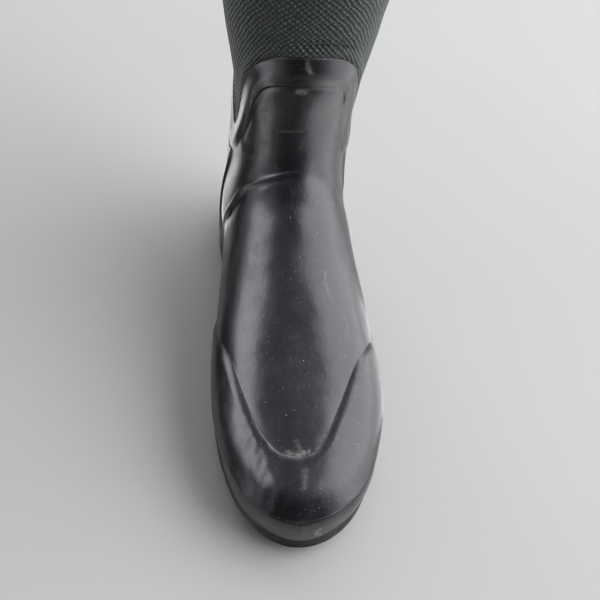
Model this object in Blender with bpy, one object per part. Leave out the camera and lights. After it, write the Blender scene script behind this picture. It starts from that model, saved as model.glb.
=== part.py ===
"""Pull-on work boot for the left foot: rubber shell, neoprene shaft and moulded outsole.

The toe points towards -Y, the outer side of the foot towards +X and the floor is Z = 0.
Lengths are in millimetres measured from the tip of the outsole; meshes are in metres.
"""
import math
from collections import namedtuple
from functools import lru_cache

import bmesh
import bpy
import numpy as np
from mathutils import Vector

# Driving sizes
MM = 0.001
SOLE_LENGTH = 314.0
NOSE = 10.5
TOE_REACH = 96.5
TOE_FULLNESS = 2.08
TOE_TUCK = 0.93
TOE_ARCH = 2.3
TOE_RIM = 10.5
BALL_RIM = 6.0
BALL_MEDIAL = 47.5
BALL_LATERAL = 54.5
SEAT_GAP = 0.3
SHELL_WALL = 2.2
OVERLAY_WALL = 1.5
BUMPER_WALL = 3.8
BUMPER_TOP_WALL = 1.0
SHAFT_WALL = 4.5
HEM_WALL = 0.9
TUCK_EASE = 0.4
TUCK_ROWS = 1.5
INSOLE_WALL = 4.0
INSOLE_CHAMFER = 2.0
SOLE_SEAT = 0.5
LUG_DEPTH = 4.5

# Share of the climb from the lower edge to the ridge that the side wall takes
WALL_SHARE = 0.32
WALL_STEPS = 4
OVER_STEPS = 8
ROW_STEP = 0.5
SHAFT_ROW_STEP = 0.5
ANKLE_ROWS = 5
BAND_ROWS = 2

# Sections of the last, from the nose to the top of the shaft. Each lies in a plane through
# its top point (front of the foot or leg) and its low point (sole edge, heel or calf).
# tuck is the half width at the low edge as a share of the widest, closed turns the open
# foot section into the ring of the leg, arch is the exponent of the curve over the top,
# rim is how far the outsole stands out from the low edge.
Section = namedtuple("Section", "name top_y top_z low_y low_z medial lateral shift widest"
                                " tuck closed arch rim")


def blend(start, end, share):
    return start + (end - start) * share


def toe_section(name, turn, top_z, low_z, widest):
    """Section of the toe, a quarter turn of a full oval from the nose to the ball."""
    along = NOSE + TOE_REACH * (1.0 - math.cos(math.radians(turn)))
    share = (1.0 - math.cos(math.radians(turn)) ** TOE_FULLNESS) ** (1.0 / TOE_FULLNESS)
    return Section(name, along, top_z, along, low_z, BALL_MEDIAL * share, BALL_LATERAL * share,
                   0.0, widest, TOE_TUCK, 0.0, TOE_ARCH, blend(TOE_RIM, BALL_RIM, turn / 90.0))


SECTIONS = [
    toe_section("nose", 0.0, 32.0, 16.5, 0.34),
    toe_section("toe tip", 15.0, 38.0, 16.2, 0.34),
    toe_section("toe front", 30.0, 43.8, 15.6, 0.33),
    toe_section("toe", 45.0, 48.8, 15.0, 0.32),
    toe_section("toe back", 60.0, 55.0, 14.5, 0.31),
    toe_section("ball front", 75.0, 62.6, 14.1, 0.29),
    #       name          top_y  top_z  low_y  low_z   med   lat   sh   wid  tuck   cl   ar  rim
    Section("ball",       107.0,  71.5, 107.0,  14.0, 47.5, 54.5, 0.0, 0.28, 0.93, 0.0, 2.2, 6.0),
    Section("ball back",  126.0,  80.0, 129.0,  15.0, 46.6, 53.2, 0.0, 0.29, 0.91, 0.0, 2.1, 5.8),
    Section("waist",      144.0,  90.0, 153.0,  17.5, 44.8, 50.4, 0.0, 0.31, 0.88, 0.0, 2.0, 5.6),
    Section("arch",       160.0, 101.0, 177.0,  20.5, 42.6, 46.8, 0.0, 0.33, 0.86, 0.0, 2.0, 5.6),
    Section("instep",     173.5, 112.5, 201.0,  23.0, 40.5, 43.4, 0.0, 0.36, 0.86, 0.0, 2.0, 5.8),
    Section("instep top", 184.0, 122.5, 225.0,  24.6, 39.6, 40.8, 0.0, 0.39, 0.87, 0.1, 2.0, 6.0),
    Section("heel front", 191.0, 131.0, 249.0,  25.2, 40.4, 39.0, 0.0, 0.42, 0.92, 0.3, 2.0, 6.2),
    Section("heel",       195.0, 138.0, 271.0,  25.5, 39.6, 38.0, 0.0, 0.45, 0.94, 0.7, 2.0, 6.5),
    Section("heel back",  197.5, 145.0, 289.0,  25.5, 38.0, 37.6, 0.0, 0.47, 0.84, 1.0, 2.0, 6.8),
    Section("heel turn",  199.0, 152.0, 301.0,  25.5, 36.4, 37.5, 0.0, 0.49, 0.56, 1.0, 2.0, 7.0),
    Section("heel end",   200.0, 159.0, 307.0,  25.5, 35.4, 37.8, 0.0, 0.50, 0.00, 1.0, 2.0, 7.0),
    Section("heel rise",  200.6, 166.0, 308.0,  44.0, 34.8, 38.2, 0.4, 0.50, 0.00, 1.0, 2.0, 7.0),
    Section("heel top",   201.0, 174.0, 307.0,  65.0, 34.6, 38.8, 1.0, 0.50, 0.00, 1.0, 2.0, 7.0),
    Section("ankle",      201.2, 183.0, 304.0,  89.0, 35.2, 39.8, 1.8, 0.50, 0.00, 1.0, 2.0, 7.0),
    Section("ankle top",  201.2, 194.0, 301.0, 115.0, 37.2, 41.4, 2.8, 0.50, 0.00, 1.0, 2.0, 7.0),
    Section("leg",        201.0, 208.0, 300.0, 143.0, 40.8, 43.8, 3.9, 0.50, 0.00, 1.0, 2.0, 7.0),
    Section("leg up",     200.5, 226.0, 302.0, 175.0, 46.0, 47.4, 5.0, 0.50, 0.00, 1.0, 2.0, 7.0),
    Section("calf low",   199.5, 250.0, 306.5, 212.0, 51.0, 51.6, 6.0, 0.50, 0.00, 1.0, 2.0, 7.0),
    Section("calf",       197.5, 283.0, 312.5, 258.0, 55.8, 55.8, 6.8, 0.50, 0.00, 1.0, 2.0, 7.0),
    Section("calf high",  195.0, 325.0, 317.5, 313.0, 59.6, 59.6, 7.4, 0.50, 0.00, 1.0, 2.0, 7.0),
    Section("shaft top",  192.0, 375.0, 320.0, 375.0, 62.5, 62.5, 7.6, 0.50, 0.00, 1.0, 2.0, 7.0),
]
HEEL_END = 16
TOP_ROW = len(SECTIONS) - 1
SQUEEZE_START = 13.0
ANKLE_START = 0.25
SHAFT_FOOT = 17.3
HEM_HEIGHT = 12.0

# Heights along the boot, each row a distance from the toe and a height
EdgePoint = namedtuple("EdgePoint", "from_toe height")
COLLAR_EDGE = [EdgePoint(*row) for row in (
    (198, 216.5), (204, 213), (210.5, 205.5), (216, 196.5), (222, 184), (228, 167), (233, 149),
    (238, 137), (244, 131), (251, 132.5), (260, 145), (276, 164), (292, 174), (314, 178))]
BAND_EDGE = [EdgePoint(*row) for row in (
    (197, 197), (204, 193.5), (209.5, 187), (213.5, 177), (216.5, 163), (219.5, 147), (223.5, 130),
    (229, 118), (236, 112), (244, 110), (252, 112.5), (262, 125), (276, 140), (292, 152), (314, 157))]
SOLE_BOTTOM = [EdgePoint(*row) for row in (
    (0, 8.0), (19, 5.6), (34, 3.4), (54, 1.2), (72, 0), (149, 0), (172, 3.2), (196, 6.4),
    (228, 7.6), (235, 0), (302, 0), (314, 1.2))]
HEEL_BREAST = (228.0, 235.0)
BUMPER_EDGE = [EdgePoint(*row) for row in (
    (0, 11.0), (30, 11.0), (50, 9.0), (72, 5.5))]
BUMPER_END = 4.5
BUMPER_SHARES = [0.0, 0.25, 0.5, 0.75, 1.0]

# Rear edge of the toe cap: how far up the section, and how far from the toe on either side
CapPoint = namedtuple("CapPoint", "climb inner outer")
TOE_CAP_EDGE = [CapPoint(*row) for row in (
    (0.00, 178.0, 178.0), (0.25, 161.0, 159.0), (0.36, 145.0, 140.0), (0.45, 129.5, 126.0),
    (0.50, 124.5, 122.0), (0.55, 117.5, 118.0), (0.60, 109.0, 112.0), (0.65, 96.5, 106.0),
    (0.70, 81.0, 98.0), (0.74, 65.5, 88.0), (0.79, 52.5, 74.0), (0.83, 46.0, 60.5),
    (0.87, 41.5, 51.0), (0.915, 39.5, 41.5), (0.96, 38.8, 38.5), (1.00, 38.4, 38.4))]
# Columns added where that edge runs steeply across the shared grid
CAP_EXTRA_CLIMBS = [0.447, 0.53, 0.617, 0.70, 0.787, 0.87, 0.957]

# Front edge of the heel counter: height and distance from the toe
COUNTER_EDGE = [EdgePoint(*row) for row in (
    (20, 227), (50, 231), (80, 234.5), (110, 236), (160, 240))]
COUNTER_START = 11.0
COUNTER_SETBACK = 0.04
COUNTER_HIGHEST = 0.6

# Side of the outsole: how far in from the rim, and how far below the top or above the tread
SideRow = namedtuple("SideRow", "name inset down up")
SIDE_ROWS = [
    SideRow("lip top", 1.0, 0.0, None),
    SideRow("lip edge", 0.0, 1.0, None),
    SideRow("lip under", 0.0, 3.6, None),
    SideRow("groove top", 1.6, 4.3, None),
    SideRow("groove foot", 1.6, 5.5, None),
    SideRow("wall top", 0.4, 6.3, None),
    SideRow("wall foot", 0.9, None, 1.2),
    SideRow("tread edge", 2.0, None, 0.0),
]

# Chevron grooves between the main lugs: apex from the toe and groove width
Groove = namedtuple("Groove", "from_toe width")
GROOVES = [Groove(*row) for row in (
    (38, 6.5), (59, 7.0), (80, 7.0), (101, 7.0), (122, 7.0), (244, 6.0), (262, 6.0), (280, 6.0))]
GROOVE_REACH = 80.0
GROOVE_SWEEP = 24.0
CUTTER_CLEARANCE = 6.0


def spline(values, flat_start, flat_end):
    """Second derivatives of a cubic spline through evenly spaced values."""
    count = len(values)
    matrix = np.zeros((count, count))
    right = np.zeros(count)
    for row in range(1, count - 1):
        matrix[row, row - 1:row + 2] = (1.0, 4.0, 1.0)
        right[row] = 6.0 * (values[row - 1] - 2.0 * values[row] + values[row + 1])
    matrix[0, 0] = 1.0
    matrix[-1, -1] = 1.0
    if flat_start:
        matrix[0, :2] = (2.0, 1.0)
        right[0] = 6.0 * (values[1] - values[0])
    if flat_end:
        matrix[-1, -2:] = (1.0, 2.0)
        right[-1] = 6.0 * (values[-2] - values[-1])
    return np.linalg.solve(matrix, right)


# The low line turns a corner at the heel end, so its columns are splined in two pieces
FLAT_AT_NOSE = ("top_y", "low_y", "low_z", "rim", "widest", "arch", "tuck", "closed")
TURN_AT_HEEL = ("low_y", "low_z", "tuck")
FLAT_AT_HEEL = ("low_y",)
CURVES = {}
for field in Section._fields[1:]:
    column = np.array([getattr(row, field) for row in SECTIONS], dtype=float)
    if field in TURN_AT_HEEL:
        foot = column[:HEEL_END + 1]
        leg = column[HEEL_END:]
        flat = field in FLAT_AT_HEEL
        CURVES[field] = [(0, foot, spline(foot, field in FLAT_AT_NOSE, flat)),
                         (HEEL_END, leg, spline(leg, flat, False))]
    else:
        CURVES[field] = [(0, column, spline(column, field in FLAT_AT_NOSE, False))]


def column_at(field, station):
    """Value of one column of the section table at a station between its rows."""
    pieces = CURVES[field]
    first, values, bends = pieces[-1] if station >= pieces[-1][0] else pieces[0]
    place = station - first
    if place >= len(values) - 1:
        return float(values[-1])
    index = int(place)
    after = place - index
    before = 1.0 - after
    straight = before * values[index] + after * values[index + 1]
    bend = (before ** 3 - before) * bends[index] + (after ** 3 - after) * bends[index + 1]
    return float(straight + bend / 6.0)


def height_on(edge, along):
    """Second column of an edge line where its first column reaches a value."""
    if along <= edge[0][0]:
        return edge[0][1]
    for near, far in zip(edge, edge[1:]):
        if along <= far[0]:
            return blend(near[1], far[1], (along - near[0]) / (far[0] - near[0]))
    return edge[-1][1]


def last_point(station, around):
    """Point of the last; around runs from the inner low edge over the top to the outer one."""
    inner = around < 0.5
    climb = 2.0 * around if inner else 2.0 * (1.0 - around)
    half = column_at("medial" if inner else "lateral", station)
    widest = column_at("widest", station)
    arch = column_at("arch", station)
    if climb < WALL_SHARE:
        share = climb / WALL_SHARE
        closed = min(1.0, max(0.0, column_at("closed", station)))
        tuck = min(1.0, max(0.0, column_at("tuck", station))) if station < HEEL_END else 0.0
        ease = share * share * (3.0 - 2.0 * share)
        start = math.asin(tuck)
        turn = blend(start, 0.5 * math.pi, share)
        arc_rise = 1.0 - math.cos(turn) / math.cos(start)
        out = half * blend(blend(tuck, 1.0, ease), math.sin(turn), closed)
        rise = widest * blend(share, arc_rise, closed)
    else:
        turn = 0.5 * math.pi * (climb - WALL_SHARE) / (1.0 - WALL_SHARE)
        out = half * max(0.0, math.cos(turn)) ** (2.0 / arch)
        rise = blend(widest, 1.0, math.sin(turn) ** (2.0 / arch))
    along = blend(column_at("low_y", station), column_at("top_y", station), rise)
    height = blend(column_at("low_z", station), column_at("top_z", station), rise)
    side = -out if inner else out
    return Vector((side + column_at("shift", station), along, height))


def last_normal(station, around):
    """Outward direction of the last."""
    probe = min(max(station, 0.04), TOP_ROW - 0.02)
    reach = 0.004
    if station >= HEEL_END:
        behind = (around - reach) % 1.0
        ahead = (around + reach) % 1.0
    else:
        behind = max(around - reach, 0.0)
        ahead = min(around + reach, 1.0)
    across = last_point(probe, ahead) - last_point(probe, behind)
    along = last_point(probe + 0.02, around) - last_point(probe - 0.02, around)
    normal = across.cross(along)
    if station < 0.001:
        normal.x = 0.0
    return normal.normalized()


def layer_point(station, around, lift):
    return last_point(station, around) + lift * last_normal(station, around)


def solve(goal, low, high):
    """Value between low and high where a rising goal passes zero."""
    for _ in range(40):
        middle = 0.5 * (low + high)
        if goal(middle) < 0.0:
            low = middle
        else:
            high = middle
    return 0.5 * (low + high)


def climb_of(around):
    return 2.0 * min(around, 1.0 - around)


def edge_station(edge, around):
    """Station at which a column of the last reaches an edge line."""
    def above(station):
        point = last_point(station, around)
        return point.z - height_on(edge, point.y)
    return solve(above, HEEL_END - 2.0, TOP_ROW)


def cap_station(around):
    """Station of the toe cap's rear edge on a column of the last."""
    side = 2 if around > 0.5 else 1
    target = height_on([(row[0], row[side]) for row in TOE_CAP_EDGE], climb_of(around))
    return solve(lambda station: last_point(station, around).y - target, 0.0, HEEL_END)


def bumper_climb(station, outer):
    """Climb of the toe bumper's upper edge at a station."""
    target = column_at("low_z", station) + height_on(BUMPER_EDGE, column_at("low_y", station))

    def above(climb):
        around = 1.0 - 0.5 * climb if outer else 0.5 * climb
        return last_point(station, around).z - target
    return solve(above, 0.0, 1.0)


# Columns of the shared grid, from the inner low edge over the top to the outer one
WALL_COLUMNS = [WALL_SHARE * step / WALL_STEPS for step in range(WALL_STEPS)]
OVER_COLUMNS = [blend(WALL_SHARE, 1.0, step / OVER_STEPS) for step in range(OVER_STEPS + 1)]
CLIMBS = WALL_COLUMNS + OVER_COLUMNS
INNER_COLUMNS = [0.5 * climb for climb in CLIMBS]
OUTER_COLUMNS = [1.0 - 0.5 * climb for climb in reversed(CLIMBS)]
COLUMNS = INNER_COLUMNS + OUTER_COLUMNS[1:]
FOOT_ROWS = [ROW_STEP * index for index in range(int(HEEL_END / ROW_STEP) + 1)]
LAST_FOOT_ROW = len(FOOT_ROWS) - 1
BAND_ROW = LAST_FOOT_ROW + ANKLE_ROWS


@lru_cache(maxsize=None)
def shell_span(around):
    """Stations at which a column leaves the foot, meets the collar band and ends."""
    band = edge_station(BAND_EDGE, around)
    return min(HEEL_END, band - ANKLE_START), band, edge_station(COLLAR_EDGE, around)


def shell_station(row, around):
    """Station of a row of the shell's grid: foot rows, then ankle rows, then band rows."""
    ankle, band, collar = shell_span(around)
    if row > BAND_ROW:
        return blend(band, collar, (row - BAND_ROW) / BAND_ROWS)
    if row > LAST_FOOT_ROW:
        return blend(ankle, band, (row - LAST_FOOT_ROW) / ANKLE_ROWS)
    if FOOT_ROWS[row] <= SQUEEZE_START:
        return FOOT_ROWS[row]
    share = (FOOT_ROWS[row] - SQUEEZE_START) / (HEEL_END - SQUEEZE_START)
    return blend(SQUEEZE_START, ankle, share)


def object_from(name, mesh_maker, material, collection):
    """Object whose mesh a bmesh function fills, facing outward, smooth but for real edges."""
    mesh = bpy.data.meshes.new(name)
    bm = bmesh.new()
    mesh_maker(bm)
    bmesh.ops.remove_doubles(bm, verts=bm.verts, dist=0.000002)
    bmesh.ops.dissolve_degenerate(bm, edges=bm.edges, dist=0.000002)
    if bm.calc_volume(signed=True) < 0.0:
        bmesh.ops.reverse_faces(bm, faces=bm.faces)
    for face in bm.faces:
        face.smooth = True
    bm.to_mesh(mesh)
    bm.free()
    mesh.set_sharp_from_angle(angle=math.radians(40.0))
    thing = bpy.data.objects.new(name, mesh)
    collection.objects.link(thing)
    if material is not None:
        mesh.materials.append(material)
    return thing


def to_world(point):
    return Vector((point.x, point.y - 0.5 * SOLE_LENGTH, point.z)) * MM


def wall_maker(grids, low, high):
    """Closed wall between two lifts of the last over grids of (station, around) nodes."""
    def fill(bm):
        nodes = {}
        faces = []

        def node(station, around):
            key = tuple(round(value, 3) for value in last_point(station, around))
            if key not in nodes:
                top = layer_point(station, around, high(station, around))
                foot = layer_point(station, around, low(station, around))
                nodes[key] = (bm.verts.new(to_world(top)), bm.verts.new(to_world(foot)))
            return key

        for grid in grids:
            keys = [[node(*spot) for spot in line] for line in grid]
            for near, far in zip(keys, keys[1:]):
                for left, right in zip(range(len(near)), range(1, len(near))):
                    corners = [near[left], near[right], far[right], far[left]]
                    loop = [key for index, key in enumerate(corners) if key != corners[index - 1]]
                    if len(set(loop)) == len(loop) and len(loop) > 2:
                        faces.append(loop)
        used = {}
        for loop in faces:
            bm.faces.new([nodes[key][0] for key in loop])
            bm.faces.new([nodes[key][1] for key in [loop[0]] + loop[:0:-1]])
            for start, end in zip(loop, loop[1:] + loop[:1]):
                used[(start, end)] = True
        for start, end in used:
            if (end, start) not in used:
                bm.faces.new([nodes[end][0], nodes[start][0], nodes[start][1], nodes[end][1]])
    return fill


def even(lift):
    return lambda station, around: lift


def feather(station, outer):
    """Plan point of the last's low edge, as a half width and a distance from the toe."""
    half = column_at("lateral" if outer else "medial", station)
    low = half * max(0.0, column_at("tuck", station)) if station < HEEL_END else 0.0
    return Vector((low, column_at("low_y", station)))


def outline_point(station, outer, out):
    """Plan point of the sole line: the low edge of the last, moved outward square to itself."""
    def spot(where):
        return feather(min(max(where, 0.0), HEEL_END), outer)
    step = 0.05
    tangent = spot(station + step) - spot(station - step)
    normal = Vector((tangent.y, -tangent.x)).normalized()
    if station < step:
        normal = Vector((0.0, -1.0))
    if station > HEEL_END - step:
        normal = Vector((0.0, 1.0))
    point = spot(station) + out * normal
    side = 1.0 if outer else -1.0
    return Vector((side * point.x, point.y))


def loft_maker(rings):
    """Closed solid through rings of points, one ring per station."""
    def fill(bm):
        loops = [[bm.verts.new(to_world(point)) for point in ring] for ring in rings]
        count = len(rings[0])
        for near, far in zip(loops, loops[1:]):
            for index in range(count):
                after = (index + 1) % count
                bm.faces.new([near[index], near[after], far[after], far[index]])
    return fill


def sole_ring(station):
    """Section of the outsole: inner side from the top down, then outer side back up."""
    top = column_at("low_z", station) - SOLE_SEAT
    rim = column_at("rim", station)
    ring = []
    for outer in (False, True):
        points = []
        for row in SIDE_ROWS:
            spot = outline_point(station, outer, rim - row.inset)
            bottom = height_on(SOLE_BOTTOM, outline_point(station, outer, rim).y)
            height = top - row.down if row.up is None else bottom + row.up
            points.append(Vector((spot.x, spot.y, height)))
        ring += points if not outer else points[::-1]
    return ring


def insole_ring(station):
    """Section of the footbed, lying on the outsole inside the shell, narrower at its top."""
    foot = column_at("low_z", station) - SOLE_SEAT + SEAT_GAP
    corners = [(-SEAT_GAP, foot), (-INSOLE_CHAMFER, foot + INSOLE_WALL)]
    ring = []
    for outer in (False, True):
        for out, height in corners[::-1] if outer else corners:
            spot = outline_point(station, outer, out)
            ring.append(Vector((spot.x, spot.y, height)))
    return ring


def groove_maker(groove):
    """Chevron bar that cuts one groove into the tread."""
    def fill(bm):
        floor = height_on(SOLE_BOTTOM, groove.from_toe)
        outline = []
        for shift in (0.0, groove.width):
            line = [(-GROOVE_REACH, GROOVE_SWEEP), (0.0, 0.0), (GROOVE_REACH, GROOVE_SWEEP)]
            line = [Vector((x, groove.from_toe + y + shift, floor - CUTTER_CLEARANCE)) for x, y in line]
            outline += line if shift == 0.0 else line[::-1]
        face = bm.faces.new([bm.verts.new(to_world(point)) for point in outline])
        sweep = bmesh.ops.extrude_face_region(bm, geom=[face])
        raised = [item for item in sweep["geom"] if isinstance(item, bmesh.types.BMVert)]
        rise = (CUTTER_CLEARANCE + LUG_DEPTH) * MM
        bmesh.ops.translate(bm, verts=raised, vec=Vector((0.0, 0.0, rise)))
    return fill


def material(name, colour, roughness):
    made = bpy.data.materials.new(name)
    made.use_nodes = True
    shader = made.node_tree.nodes["Principled BSDF"]
    shader.inputs["Base Color"].default_value = (*colour, 1.0)
    shader.inputs["Roughness"].default_value = roughness
    shader.inputs["Metallic"].default_value = 0.0
    return made


def add_collection(name):
    made = bpy.data.collections.new(name)
    bpy.context.scene.collection.children.link(made)
    return made


for stale in list(bpy.data.objects):
    bpy.data.objects.remove(stale, do_unlink=True)
boot = add_collection("rubber_boot")
cutters = add_collection("cutters")

black_rubber = material("black_rubber", (0.016, 0.016, 0.017), 0.42)
sole_rubber = material("sole_rubber", (0.020, 0.020, 0.021), 0.62)
green_knit = material("green_knit", (0.022, 0.030, 0.025), 0.85)
footbed_foam = material("footbed_foam", (0.10, 0.10, 0.10), 0.90)

# Rubber shell of the foot and ankle
upper_grid = [[(shell_station(row, around), around) for around in COLUMNS]
              for row in range(BAND_ROW + BAND_ROWS + 1)]
shell_out = SEAT_GAP + SHELL_WALL
object_from("upper", wall_maker([upper_grid], even(SEAT_GAP), even(shell_out)),
            black_rubber, boot)

# Toe cap over the toe and the sides of the ball
overlay_in = shell_out + SEAT_GAP
overlay_out = overlay_in + OVERLAY_WALL
cap_climbs = sorted(CLIMBS + CAP_EXTRA_CLIMBS)
cap_columns = [0.5 * climb for climb in cap_climbs]
cap_columns += [1.0 - around for around in cap_columns[-2::-1]]
cap_end = {around: cap_station(around) for around in cap_columns}
cap_rows = [station for station in FOOT_ROWS if station < max(cap_end.values()) + ROW_STEP]
cap_grid = [[(min(station, cap_end[around]), around) for around in cap_columns]
            for station in cap_rows]
object_from("toe_cap", wall_maker([cap_grid], even(overlay_in), even(overlay_out)),
            black_rubber, boot)

# Bumper strip round the toe, thickest at the sole
bumper_in = overlay_out + SEAT_GAP
bumper_rows = [station for station in FOOT_ROWS if station <= BUMPER_END]
bumper_grids = []
for outer in (False, True):
    grid = []
    for station in bumper_rows:
        reach = bumper_climb(station, outer)
        climbs = [share * reach for share in BUMPER_SHARES]
        grid.append([(station, 1.0 - 0.5 * climb if outer else 0.5 * climb) for climb in climbs])
    bumper_grids.append(grid if outer else [line[::-1] for line in grid])


def bumper_out(station, around):
    share = climb_of(around) / bumper_climb(station, around > 0.5)
    fade = 1.0 - 0.5 * station / BUMPER_END
    return bumper_in + fade * blend(BUMPER_WALL, BUMPER_TOP_WALL, min(1.0, share) ** 2)


object_from("toe_bumper", wall_maker(bumper_grids, even(bumper_in), bumper_out),
            black_rubber, boot)

# Counter round the heel, up to the collar band
def counter_limit(row, outer):
    """Place round the last where a row of the shell's grid meets the counter's front edge."""
    def ahead(climb):
        around = 1.0 - 0.5 * climb if outer else 0.5 * climb
        point = last_point(shell_station(row, around), around)
        return height_on(COUNTER_EDGE, point.z) - point.y
    climb = solve(ahead, 0.0, COUNTER_HIGHEST)
    return 1.0 - 0.5 * climb if outer else 0.5 * climb


counter_grids = []
for outer in (False, True):
    columns = OUTER_COLUMNS if outer else INNER_COLUMNS
    grid = []
    for row in range(FOOT_ROWS.index(COUNTER_START), BAND_ROW + 1):
        limit = counter_limit(row, outer)
        setback = COUNTER_SETBACK if row == BAND_ROW else 0.0
        held = [max(around, limit) if outer else min(around, limit) for around in columns]
        grid.append([(shell_station(row, around) - setback, around) for around in held])
    counter_grids.append(grid)
object_from("heel_counter", wall_maker(counter_grids, even(overlay_in), even(overlay_out)),
            black_rubber, boot)

# Band along the top edge of the shell
band_grid = [[(shell_station(BAND_ROW + row, around), around) for around in COLUMNS]
             for row in range(BAND_ROWS + 1)]
object_from("collar_band", wall_maker([band_grid], even(overlay_in), even(overlay_out)),
            black_rubber, boot)

# Knit-faced neoprene shaft, tucked into the shell, with a turned hem at the top
hem_start = TOP_ROW - HEM_HEIGHT / (SECTIONS[-1].top_z - SECTIONS[-2].top_z)
shaft_count = round((hem_start - SHAFT_FOOT) / SHAFT_ROW_STEP)
shaft_rows = [blend(SHAFT_FOOT, hem_start, row / shaft_count) for row in range(shaft_count + 1)]
shaft_rows += [hem_start + 0.02, TOP_ROW]
shaft_grid = [[(station, around) for around in COLUMNS] for station in shaft_rows]


def shaft_out(station, around):
    """Lift of the shaft's outer face: eased in below the collar, thicker at the hem."""
    if station > hem_start + 0.01:
        return HEM_WALL
    below = shell_span(around)[2] - station
    return -TUCK_EASE * min(1.0, max(0.0, below / TUCK_ROWS))


object_from("shaft", wall_maker([shaft_grid], even(-SHAFT_WALL), shaft_out), green_knit, boot)

# Footbed
object_from("insole", loft_maker([insole_ring(station) for station in FOOT_ROWS]),
            footbed_foam, boot)

# Outsole with its rim, side groove, heel and main lugs
breast = [solve(lambda station: column_at("low_y", station) - along, 0.0, HEEL_END)
          for along in HEEL_BREAST]
sole_rows = sorted(set(FOOT_ROWS + breast))
outsole = object_from("outsole", loft_maker([sole_ring(station) for station in sole_rows]),
                      sole_rubber, boot)
for number, groove in enumerate(GROOVES):
    bar = object_from("groove_%d" % number, groove_maker(groove), None, cutters)
    bar.hide_render = True
    bar.display_type = "WIRE"
    cut = outsole.modifiers.new("groove_%d" % number, "BOOLEAN")
    cut.operation = "DIFFERENCE"
    cut.solver = "EXACT"
    cut.object = bar

# The boot stands on the floor with the middle of its box over the origin
bpy.context.view_layer.update()
corners = [thing.matrix_world @ vert.co for thing in boot.objects for vert in thing.data.vertices]
lows = [min(corner[axis] for corner in corners) for axis in range(3)]
highs = [max(corner[axis] for corner in corners) for axis in range(3)]
stand = bpy.data.objects.new("boot_stand", None)
boot.objects.link(stand)
stand.location = (-0.5 * (lows[0] + highs[0]), -0.5 * (lows[1] + highs[1]), -lows[2])
for thing in list(boot.objects) + list(cutters.objects):
    if thing is not stand:
        thing.parent = stand
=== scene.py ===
# %% [markdown]
# # Dressing a pull-on rubber boot
# The boot has a black rubber shell moulded round the foot, a knit-faced neoprene shaft above
# it and a cleated rubber sole below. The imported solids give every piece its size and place.
# Here each piece gets the surface a maker would see: rolled edges, creases, knit, dust and
# scuffs. Everything is modelled where the solids are, so nothing has to be fitted afterwards.

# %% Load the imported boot
import math
from collections import namedtuple

import bmesh
import bpy
import numpy as np
from mathutils import Matrix, Vector


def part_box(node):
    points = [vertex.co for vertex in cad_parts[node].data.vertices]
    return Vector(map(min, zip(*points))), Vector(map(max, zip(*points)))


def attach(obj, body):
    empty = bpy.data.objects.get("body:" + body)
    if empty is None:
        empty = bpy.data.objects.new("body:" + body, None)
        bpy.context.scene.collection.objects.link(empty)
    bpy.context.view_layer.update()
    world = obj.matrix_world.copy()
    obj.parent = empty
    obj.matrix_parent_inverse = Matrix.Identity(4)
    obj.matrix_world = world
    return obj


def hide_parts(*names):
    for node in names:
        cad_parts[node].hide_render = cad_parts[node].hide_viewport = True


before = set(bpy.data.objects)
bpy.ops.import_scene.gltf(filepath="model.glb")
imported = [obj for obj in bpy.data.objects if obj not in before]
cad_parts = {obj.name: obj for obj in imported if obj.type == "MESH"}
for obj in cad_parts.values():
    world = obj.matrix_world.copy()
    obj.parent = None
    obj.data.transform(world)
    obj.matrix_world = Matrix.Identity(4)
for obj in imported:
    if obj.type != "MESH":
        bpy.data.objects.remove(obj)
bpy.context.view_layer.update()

print("solids:", ", ".join(sorted(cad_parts)))

# %% [markdown]
# ## The last
# A boot is built round a last, the wooden or metal form of the foot. The table lists sections
# of it from the nose of the toe, over the ball and instep, round the heel and up the leg. Each
# section is a plane curve through a top point and a low point. A smooth curve through each
# column of the table gives a section anywhere between the rows. One function of two numbers,
# the station along the boot and the place around it, then describes the whole surface, and
# every skin of the boot is a lift of that surface. Lengths are in millimetres from the tip
# of the sole.

# %% Sections of the last
MM = 0.001
NOSE = 10.5
TOE_REACH = 96.5
TOE_FULLNESS = 2.08
TOE_TUCK = 0.93
TOE_ARCH = 2.3
TOE_RIM = 10.5
BALL_RIM = 6.0
BALL_MEDIAL = 47.5
BALL_LATERAL = 54.5
Section = namedtuple("Section", "name top_y top_z low_y low_z medial lateral shift widest"
                                " tuck closed arch rim")
LEG_FORM = {"widest": 0.50, "tuck": 0.0, "closed": 1.0, "arch": 2.0, "rim": 7.0}


def blend(start, end, share):
    return start + (end - start) * share


def toe_section(name, turn, top_z, low_z, widest):
    """Section of the toe, a quarter turn of a full oval from the nose to the ball."""
    cosine = math.cos(math.radians(turn))
    along = NOSE + TOE_REACH * (1.0 - cosine)
    share = (1.0 - cosine ** TOE_FULLNESS) ** (1.0 / TOE_FULLNESS)
    return Section(name, along, top_z, along, low_z, BALL_MEDIAL * share, BALL_LATERAL * share,
                   0.0, widest, TOE_TUCK, 0.0, TOE_ARCH, blend(TOE_RIM, BALL_RIM, turn / 90.0))


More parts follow.
